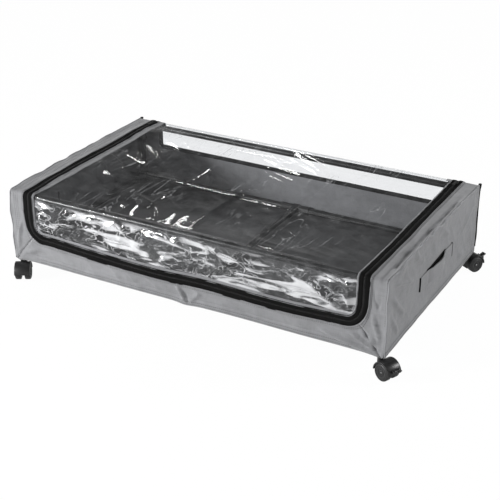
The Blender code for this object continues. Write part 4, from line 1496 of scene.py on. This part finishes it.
def handlePiece(side, hand):
    z0, z1 = handleBox[0].z, handleBox[1].z
    thick = handle["thickness"]
    rings = []
    for y, bow in handlePath():
        x = cover["halfLength"] + max(panelBulge(side, y, (z0 + z1) / 2) * 0.9, 0) + 0.0002 + bow
        ring = []
        for k in range(9):
            z = mix(z0, z1, k / 8)
            lip = 0.0002 * (1 if 0 < k < 8 else 0)
            ring.append(Vector((side * (x + thick + lip), y, z)))
        for k in range(8, -1, -1):
            ring.append(Vector((side * x, y, mix(z0, z1, k / 8))))
        rings.append(ring)
    strap = loft("handle" + hand.capitalize(), rings, [webbing], uvScale=2 * (z1 - z0))
    keep(strap, "box", ["handle_" + hand])
    # painted shadow: a black strip behind the free middle that peeks out above the strap as its shadow
    # gap, and a black bar at each end standing in for the shade at the strap's ends
    free = handleBox[1].y - handle["patch"]
    facing = []
    for i in range(41):
        y = mix(-free - 0.004, free + 0.004, i / 40)
        rise = 0.0018 + 0.0012 * math.sin(math.pi * i / 40)
        bulge = cover["halfLength"] + panelBulge(side, y, z1) * 0.9
        low, high = z1 - 0.006, z1 + rise
        facing.append([Vector((side * (bulge + a), y, z)) for a, z in
                       ((0.0001, low), (0.0010, low), (0.0010, high), (0.0001, high))])
    parts = [loft("facing", facing, [bindingBlack], uvScale=0.02)]
    for end in (handleBox[0].y, handleBox[1].y):
        bar = roundedBlock("bar", (-0.0012, -0.0011, z0 - 0.0006), (0.0022, 0.0011, z1 + 0.0006),
                           0.0007, bindingBlack,
                           Matrix.Translation((side * (cover["halfLength"] + 0.0009), end, 0)))
        parts.append(bar)
    keep(joined("handleFacing" + hand.capitalize(), parts), "box")
    # crossed box of stitches on each sewn end
    rows = []
    for sign in (-1, 1):
        y0 = sign * (handleBox[1].y - 0.003)
        y1 = sign * (handleBox[1].y - handle["patch"] + 0.004)
        corners = [(y0, z0 + 0.003), (y1, z0 + 0.003), (y1, z1 - 0.003), (y0, z1 - 0.003),
                   (y0, z0 + 0.003), (y1, z1 - 0.003)]
        strokes = list(zip(corners, corners[1:])) + [((y0, z1 - 0.003), (y1, z0 + 0.003))]
        for (ya, za), (yb, zb) in strokes:
            line = []
            for i in range(13):
                y, z = mix(ya, yb, i / 12), mix(za, zb, i / 12)
                x = cover["halfLength"] + max(panelBulge(side, y, (z0 + z1) / 2) * 0.9, 0)
                line.append(Vector((side * (x + thick + 0.0005), y, z)))
            rows.append((line, [Vector((side, 0, 0))] * 13))
    stitches = rowsAlong("handleStitches" + hand.capitalize(), rows, 0.0033, handle["stitch"],
                         threadPale)
    keep(stitches, "box")


for side, hand in hands:
    handlePiece(side, hand)
print("handles made")

# steel tube frame and its plastic connectors
tubeSizes = {"steps": 36, "radius": 0.0065, "wall": 0.0010, "lip": 0.0003}
connectorSizes = {
    "sleeve": 0.0086, "reach": 0.034, "bore": 0.0066, "mouthRing": 0.0007, "ringLength": 0.0045,
    "steps": 36,
}


def frameTube(node):
    low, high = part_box(node)
    size = high - low
    axis = max(range(3), key=lambda i: size[i])
    radius = min(size[i] for i in range(3) if i != axis) / 2
    centre = (low + high) / 2
    length = size[axis]
    direction = Vector([1.0 if i == axis else 0.0 for i in range(3)])
    inner, lip = radius - tubeSizes["wall"], tubeSizes["lip"]
    start = centre - direction * length / 2
    profile = [(inner, 0), (radius - lip, 0), (radius, lip), (radius, length * 0.25),
               (radius, length * 0.5), (radius, length * 0.75), (radius, length - lip),
               (radius - lip, length), (inner, length), (inner, length / 2)]
    spare = (0, 0, 1) if axis != 2 else (1, 0, 0)
    name = node.replace("_", " ").title().replace(" ", "")
    piece = turned("tube" + name, profile, tubeSizes["steps"], start, direction, tubePaint,
                   start=spare, ringShaped=True)
    return keep(piece, "box", [node])


tubeNodes = [name for name in frame["nodes"] if name.endswith(("_rail", "_post"))
             or name == "cross_bar"]
for node in tubeNodes:
    frameTube(node)


def unite(base, tools, operation="UNION"):
    for tool in tools:
        cut = base.modifiers.new(tool.name, "BOOLEAN")
        cut.object = tool
        cut.operation = operation
        cut.solver = "EXACT"
    applied(base)
    for tool in tools:
        bpy.data.objects.remove(tool, do_unlink=True)
    return base


def connectorPiece(node):
    # rounded block with a ringed sleeve for each tube
    low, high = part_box(node)
    parts = node.split("_")
    sleeve, reach = connectorSizes["sleeve"], connectorSizes["reach"]
    middle = parts[0] == "middle"
    side = Vector((0 if middle else (-1 if parts[2] == "left" else 1),
                   -1 if parts[1] == "front" else 1, -1 if parts[0] != "top" else 1))
    corner = Vector([high[i] if side[i] > 0 else low[i] for i in range(3)])
    centre = Vector([corner[i] - side[i] * sleeve for i in range(3)])
    centre.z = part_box("top_front_rail" if parts[0] == "top" else "bottom_front_rail")[0].z
    centre.z += tubeSizes["radius"]
    if middle:
        centre.x = 0
    arms = [Vector((0, -side.y, 0))]
    arms += [Vector((1, 0, 0)), Vector((-1, 0, 0))] if middle else [Vector((-side.x, 0, 0))]
    if not middle:
        arms.append(Vector((0, 0, -side.z)))
    name = "connector" + "".join(part.capitalize() for part in parts[:-1])
    half = sleeve - 0.0004
    body = roundedBlock(name, centre - Vector((half,) * 3), centre + Vector((half,) * 3), 0.0032,
                        connectorPlastic, segments=4)
    ring, lip = connectorSizes["mouthRing"], connectorSizes["ringLength"]
    tools = []
    for i, arm in enumerate(arms):
        collar = sleeve - 0.0001 + ring * 0.4
        profile = [(sleeve - 0.0006, 0.001), (sleeve - 0.0004, reach - lip - 0.001),
                   (collar, reach - lip), (collar, reach - 0.0006), (sleeve - 0.0006, reach)]
        spare = (0, 0, 1) if abs(arm.z) < 0.5 else (1, 0, 0)
        tools.append(turned(f"{name}Arm{i}", profile, connectorSizes["steps"], centre, arm,
                            connectorPlastic, start=spare))
    if parts[0] == "bottom":
        tools.append(turned(name + "Boss", [(0.0074, 0.001), (0.0074, 0.0118), (0.0068, 0.0125)],
                            30, centre, (0, 0, -1), connectorPlastic, start=(1, 0, 0)))
    unite(body, tools)
    bores = []
    for i, arm in enumerate(arms):
        spare = (0, 0, 1) if abs(arm.z) < 0.5 else (1, 0, 0)
        bore = [(connectorSizes["bore"], 0.009), (connectorSizes["bore"], reach + 0.01)]
        bores.append(turned(f"{name}Bore{i}", bore, connectorSizes["steps"], centre, arm,
                            connectorPlastic, start=spare))
    unite(body, bores, "DIFFERENCE")
    return keep(shadedSmooth(body, 32), "box", [node])


for node in frame["nodes"]:
    if node.endswith("_connector"):
        connectorPiece(node)
print("frame made")

# twin-wheel casters
caster = {
    "wheelRadius": 0.0165, "wheelWidth": 0.0110, "wheelInner": 0.0042, "trail": 0.016,
    "hoodInner": 0.0173, "hoodOuter": 0.0200, "hoodHalf": 0.0154, "web": 0.0034,
    "neckTop": 0.0394,
}


def sector(name, inner, outer, y0, y1, start, end, finish, steps=44, edge=0.0009):
    # part of a ring round the axle, with rounded outer edges
    section = [(inner, y0), (outer - edge, y0), (outer - edge * 0.3, y0 + edge * 0.3),
               (outer, y0 + edge), (outer, y1 - edge), (outer - edge * 0.3, y1 - edge * 0.3),
               (outer - edge, y1), (inner, y1)]
    rings = []
    for i in range(steps + 1):
        angle = mix(start, end, i / steps)
        rings.append([Vector((caster["trail"] + r * math.cos(angle), y,
                              caster["wheelRadius"] + r * math.sin(angle))) for r, y in section])
    return loft(name, rings, [finish], sharpAngle=45)


def hoodPiece(brake):
    # half-round fender over both wheels, with its middle wall and neck
    axle = Vector((caster["trail"], 0, caster["wheelRadius"]))
    half = caster["hoodHalf"]
    hood = sector("hood", caster["hoodInner"], caster["hoodOuter"], -half, half,
                  0.0, math.pi, casterPlastic)
    web = sector("web", 0.0024, caster["hoodOuter"] - 0.0006, -caster["web"], caster["web"],
                 0.0, math.pi, casterPlastic, steps=36, edge=0.0003)
    boss = turned("boss", [(0.0060, -caster["web"]), (0.0060, caster["web"])], 36, axle,
                  (0, 1, 0), casterPlastic, start=(1, 0, 0))
    neck = turned("neck", [(0.0068, 0.0185), (0.0068, 0.0340), (0.0074, 0.0350),
                           (0.0074, 0.0385), (0.0068, caster["neckTop"])], 36, (0, 0, 0),
                  (0, 0, 1), casterPlastic, start=(1, 0, 0))
    pockets = [turned(f"pocket{sign}", [(caster["hoodInner"] - 0.0002, caster["web"] - 0.0002),
                                        (caster["hoodInner"] - 0.0002, 0.03)], 72, axle,
                      (0, sign, 0), casterPlastic, start=(1, 0, 0)) for sign in (-1, 1)]
    unite(neck, pockets, "DIFFERENCE")
    tools = [web, boss, neck]
    if brake:
        pivot = pedalPivot()
        for sign in (-1, 1):
            tools.append(turned(f"ear{sign}", [(0.0028, 0.0056), (0.0031, 0.0059), (0.0031, 0.0073),
                                               (0.0028, 0.0076)], 24, pivot, (0, sign, 0),
                                casterPlastic, start=(1, 0, 0)))
            low, high = (-0.0052, 0.0056, -0.0020), (0.0, 0.0076, 0.0020)
            if sign < 0:
                low, high = (low[0], -high[1], low[2]), (high[0], -low[1], high[2])
            turn = Matrix.Translation(pivot) @ Matrix.Rotation(-pedalAngle, 4, "Y")
            tools.append(roundedBlock(f"bridge{sign}", low, high, 0.0004, casterPlastic, turn))
    unite(hood, tools)
    cuts = [turned("axleHole", [(0.0023, -0.008), (0.0023, 0.008)], 24, axle, (0, 1, 0),
                   casterPlastic, start=(1, 0, 0)),
            turned("stemHole", [(0.0043, 0.0252), (0.0043, 0.045)], 24, (0, 0, 0), (0, 0, 1),
                   casterPlastic, start=(1, 0, 0))]
    unite(hood, cuts, "DIFFERENCE")
    return shadedSmooth(hood, 35)


def wheelPiece(sign):
    # tread, side disc with a shallow ring and a hub cap
    inner, outer = caster["wheelInner"], caster["wheelInner"] + caster["wheelWidth"]
    radius = caster["wheelRadius"]
    profile = [(0.0024, inner), (radius - 0.0012, inner), (radius - 0.0003, inner + 0.0004),
               (radius, inner + 0.0012), (radius, outer - 0.0022), (radius - 0.0005, outer - 0.0009),
               (radius - 0.0016, outer - 0.0002), (radius - 0.0026, outer),
               (0.0128, outer), (0.0124, outer - 0.0006), (0.0117, outer - 0.0006),
               (0.0112, outer - 0.0001), (0.0072, outer - 0.0007), (0.0068, outer - 0.0014),
               (0.0060, outer - 0.0014), (0.0056, outer - 0.0008), (0.0040, outer - 0.0004),
               (0.0024, outer - 0.0004)]
    axle = Vector((caster["trail"], 0, radius))
    return turned("wheel", profile, 72, axle, (0, sign, 0), wheelPlastic, start=(1, 0, 0),
                  ringShaped=True, sharpAngle=38)


def axlePiece():
    half = caster["wheelInner"] + caster["wheelWidth"] - 0.0010
    axle = Vector((caster["trail"], 0, caster["wheelRadius"]))
    profile = [(0.0014, -half), (0.0019, -half + 0.0005), (0.0019, half - 0.0005), (0.0014, half)]
    return turned("axle", profile, 28, axle, (0, 1, 0), steel, start=(1, 0, 0))


def stemPiece(top):
    profile = [(0.0034, 0.0253), (0.0040, 0.0258), (0.0040, 0.0397), (0.0062, 0.0397),
               (0.0066, 0.0401), (0.0066, 0.0411), (0.0062, 0.0415), (0.0040, 0.0415),
               (0.0040, 0.0450), (0.0036, 0.0454), (0.0036, 0.0468), (0.0040, 0.0472),
               (0.0040, top - 0.0008), (0.0030, top)]
    return turned("stem", profile, 32, (0, 0, 0), (0, 0, 1), steel, start=(1, 0, 0))


pedalAngle = math.radians(22)


def pedalPivot():
    reach = 0.0228
    return Vector((caster["trail"] + reach * math.cos(pedalAngle), 0,
                   caster["wheelRadius"] + reach * math.sin(pedalAngle)))


def pedalPiece():
    # brake pedal: barrel with a ribbed, rounded plate
    pivot = pedalPivot()
    turn = Matrix.Translation(pivot) @ Matrix.Rotation(-pedalAngle, 4, "Y")
    barrel = turned("barrel", [(0.0020, -0.0050), (0.0024, -0.0046), (0.0024, 0.0046),
                               (0.0020, 0.0050)], 28, pivot, (0, 1, 0), casterPlastic,
                    start=(1, 0, 0))
    pins = turned("pins", [(0.0011, -0.0070), (0.0011, 0.0070)], 20, pivot, (0, 1, 0), casterPlastic,
                  start=(1, 0, 0))
    plate = roundedBlock("plate", (0.0004, -0.0049, -0.0009), (0.0116, 0.0049, 0.0017), 0.0008,
                         casterPlastic, turn)
    ribs = [roundedBlock(f"rib{i}", (0.0042 + i * 0.0020, -0.0040, 0.0012),
                         (0.0051 + i * 0.0020, 0.0040, 0.0021), 0.0003, casterPlastic, turn)
            for i in range(3)]
    return unite(barrel, [pins, plate] + ribs)


def casterSet(corner):
    swivel = next(j for j in frame["joints"] if j["name"] == f"caster_{corner}_swivel")
    roll = next(j for j in frame["joints"] if j["name"] == f"caster_{corner}_roll")
    out = Vector(roll["pos_m"]) - Vector(swivel["pos_m"])
    seat = Matrix.Translation((swivel["pos_m"][0], swivel["pos_m"][1], 0))
    seat = seat @ Matrix.Rotation(math.atan2(out.y, out.x), 4, "Z")
    brake = any(j["name"] == f"caster_{corner}_brake_press" for j in frame["joints"])
    body = "caster_" + corner
    label = "".join(part.capitalize() for part in corner.split("_"))
    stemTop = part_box(body + "_stem")[1].z
    made = [("hood", hoodPiece(brake), body, "caster_plastic", body + "_hood"),
            ("stem", stemPiece(stemTop), body, "pin_steel", body + "_stem"),
            ("wheelA", wheelPiece(1), body + "_wheels", "caster_plastic", body + "_wheel_a"),
            ("wheelB", wheelPiece(-1), body + "_wheels", "caster_plastic", body + "_wheel_b"),
            ("axle", axlePiece(), body + "_wheels", "pin_steel", body + "_axle")]
    if brake:
        made.append(("brakePedal", pedalPiece(), body + "_brake", "caster_plastic",
                     body + "_brake_pedal"))
    for name, piece, rides, slot, node in made:
        piece.name = name + label
        piece.data.name = piece.name
        piece.data.transform(seat)
        keep(piece, rides, [node])


for corner in ("front_left", "front_right", "back_left", "back_right"):
    casterSet(corner)
print("casters made")

# sliders and their pull tabs
slider = {"tabLength": 0.0225, "tabWidth": 0.0042}


def sliderPieces(hand):
    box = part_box("zipper_slider_" + hand)
    centre = Vector(((box[0].x + box[1].x) / 2, (box[0].y + box[1].y) / 2, box[0].z))
    place = Matrix.Translation(centre)
    plate = roundedBlock("sliderPlate", (-0.0043, -0.0068, 0.0003), (0.0043, 0.0068, 0.0021), 0.0008,
                         coilBlack, place)
    nose = roundedBlock("nose", (-0.0022, -0.0070, 0.0010), (0.0022, 0.0070, 0.0026), 0.0007,
                        coilBlack, place)
    lugs = [roundedBlock(f"lug{sign}", (sign * 0.0031 - 0.0005, -0.0014, 0.0010),
                         (sign * 0.0031 + 0.0005, 0.0014, 0.0048), 0.0004, coilBlack, place)
            for sign in (-1, 1)]
    bail = turned("bail", [(0.0006, -0.0031), (0.0006, 0.0031)], 16,
                  centre + Vector((0, 0, 0.0038)), (1, 0, 0), coilBlack)
    cutNose = roundedBlock("noseCut", (-0.003, -0.0034, 0.0016), (0.003, 0.0034, 0.004), 0.0004,
                           coilBlack, place)
    unite(nose, [cutNose], "DIFFERENCE")
    piece = unite(plate, lugs + [bail, nose])
    piece.name = "slider" + hand.capitalize()
    keep(piece, "slider_" + hand, ["zipper_slider_" + hand])
    # tab: eye, narrow plate and a ribbed grip
    pivot = centre + Vector((0, 0, 0.0038))
    half = slider["tabWidth"] / 2
    eye = turned("eye", [(0.0015, -half + 0.0002), (0.0015, half - 0.0002)], 24, pivot, (1, 0, 0),
                 coilBlack)
    turn = Matrix.Translation(pivot)
    strap = roundedBlock("strap", (-0.0013, -0.0090, -0.0005), (0.0013, -0.0006, 0.0005), 0.0003,
                         coilBlack, turn)
    grip = roundedBlock("grip", (-half, -slider["tabLength"], -0.0006), (half, -0.0080, 0.0008), 0.0005,
                        coilBlack, turn)
    ribs = [roundedBlock(f"gripRib{i}", (-0.0014, -0.0200 + i * 0.0026, 0.0004),
                         (0.0014, -0.0190 + i * 0.0026, 0.0012), 0.0003, coilBlack, turn)
            for i in range(4)]
    tab = unite(eye, [strap, grip] + ribs)
    hole = turned("eyeHole", [(0.0010, -0.006), (0.0010, 0.006)], 16, pivot, (1, 0, 0), coilBlack)
    unite(tab, [hole], "DIFFERENCE")
    tab.name = "pullTab" + hand.capitalize()
    keep(tab, "tab_" + hand, ["pull_tab_" + hand])


for hand in ("left", "right"):
    sliderPieces(hand)
print("sliders made")


# studio: floor, lamps, surroundings and camera
def seenRays(nodes, links, path):
    # 1 for rays from the camera and for mirrored or passing rays
    return math2(nodes, links, "MAXIMUM", path.outputs["Is Camera Ray"],
                 math2(nodes, links, "MAXIMUM", path.outputs["Is Glossy Ray"],
                       path.outputs["Is Transmission Ray"]))


def makeStage():
    bm = bmesh.new()
    bmesh.ops.create_grid(bm, x_segments=1, y_segments=1, size=14.0)
    floor = meshFrom("studioFloor", bm, [])
    finish = bpy.data.materials.new("paleFloor")
    finish.use_nodes = True
    nodes, links = finish.node_tree.nodes, finish.node_tree.links
    shader = nodes["Principled BSDF"]
    shader.inputs["Roughness"].default_value = 0.9
    shader.inputs["Specular IOR Level"].default_value = 0.1
    spots = nodes.new("ShaderNodeTexCoord")
    cloud = nodes.new("ShaderNodeTexNoise")
    cloud.inputs["Scale"].default_value = 3.0
    links.new(spots.outputs["Object"], cloud.inputs["Vector"])
    links.new(ramp(nodes, links, cloud.outputs["Fac"], (0.80, 0.80, 0.80, 1), (0.83, 0.83, 0.83, 1)),
              shader.inputs["Base Color"])
    glow = nodes.new("ShaderNodeEmission")
    path = nodes.new("ShaderNodeLightPath")
    links.new(range01(nodes, links, path.outputs["Is Camera Ray"], 0.55, 1.01, 0.0, 1.0),
              glow.inputs["Strength"])
    seen = seenRays(nodes, links, path)
    blendIn = nodes.new("ShaderNodeMixShader")
    links.new(math2(nodes, links, "MULTIPLY", seen, 0.965), blendIn.inputs[0])
    links.new(shader.outputs[0], blendIn.inputs[1])
    links.new(glow.outputs[0], blendIn.inputs[2])
    links.new(blendIn.outputs[0], nodes["Material Output"].inputs["Surface"])
    floor.data.materials.append(finish)


def makeLamp(name, spot, target, size, power):
    data = bpy.data.lights.new(name, "AREA")
    data.shape = "RECTANGLE"
    data.size, data.size_y = size
    data.energy = power
    lamp = bpy.data.objects.new(name, data)
    bpy.context.scene.collection.objects.link(lamp)
    lamp.location = spot
    lamp.rotation_euler = (Vector(target) - Vector(spot)).to_track_quat("-Z", "Y").to_euler()


def makeWorld(strength):
    world = bpy.data.worlds.new("studio")
    bpy.context.scene.world = world
    world.use_nodes = True
    nodes, links = world.node_tree.nodes, world.node_tree.links
    back = nodes["Background"]
    back.inputs["Color"].default_value = (1, 1, 1, 1)
    path = nodes.new("ShaderNodeLightPath")
    seen = seenRays(nodes, links, path)
    # glossy surfaces see a bright wall that darkens towards the ceiling
    spots = nodes.new("ShaderNodeTexCoord")
    split = nodes.new("ShaderNodeSeparateXYZ")
    links.new(spots.outputs["Generated"], split.inputs[0])
    wall = range01(nodes, links, split.outputs["Z"], 1.0, 0.10, 0.03, 0.36)
    shown = math2(nodes, links, "MAXIMUM", wall, path.outputs["Is Camera Ray"])
    level = nodes.new("ShaderNodeMix")
    level.inputs["A"].default_value = strength
    links.new(seen, level.inputs["Factor"])
    links.new(shown, level.inputs["B"])
    links.new(level.outputs["Result"], back.inputs["Strength"])


view = {"lens": 83.96, "yaw": -0.5011, "pitch": 0.4623, "spot": (1.0189, -1.8434, 1.1017)}
lamps = (("keyLamp", (-1.7, -2.1, 0.9), (0.7, 0.5), 92),
         ("rightLamp", (2.1, 1.0, 1.1), (0.4, 0.5), 29),
         ("rearLamp", (-1.5, 2.3, 1.9), (0.7, 0.15), 8))


def makeCamera():
    data = bpy.data.cameras.new("camera")
    data.lens = view["lens"]
    data.sensor_width = 36
    camera = bpy.data.objects.new("camera", data)
    bpy.context.scene.collection.objects.link(camera)
    yaw, pitch = view["yaw"], view["pitch"]
    look = Vector((math.sin(yaw) * math.cos(pitch), math.cos(yaw) * math.cos(pitch), -math.sin(pitch)))
    camera.location = view["spot"]
    camera.rotation_euler = look.to_track_quat("-Z", "Y").to_euler()
    bpy.context.scene.camera = camera


makeStage()
makeWorld(0.34)
for name, spot, size, power in lamps:
    makeLamp(name, spot, (0, 0, 0.12), size, power)
makeCamera()
bpy.context.scene.view_settings.view_transform = "Standard"
print("studio made")
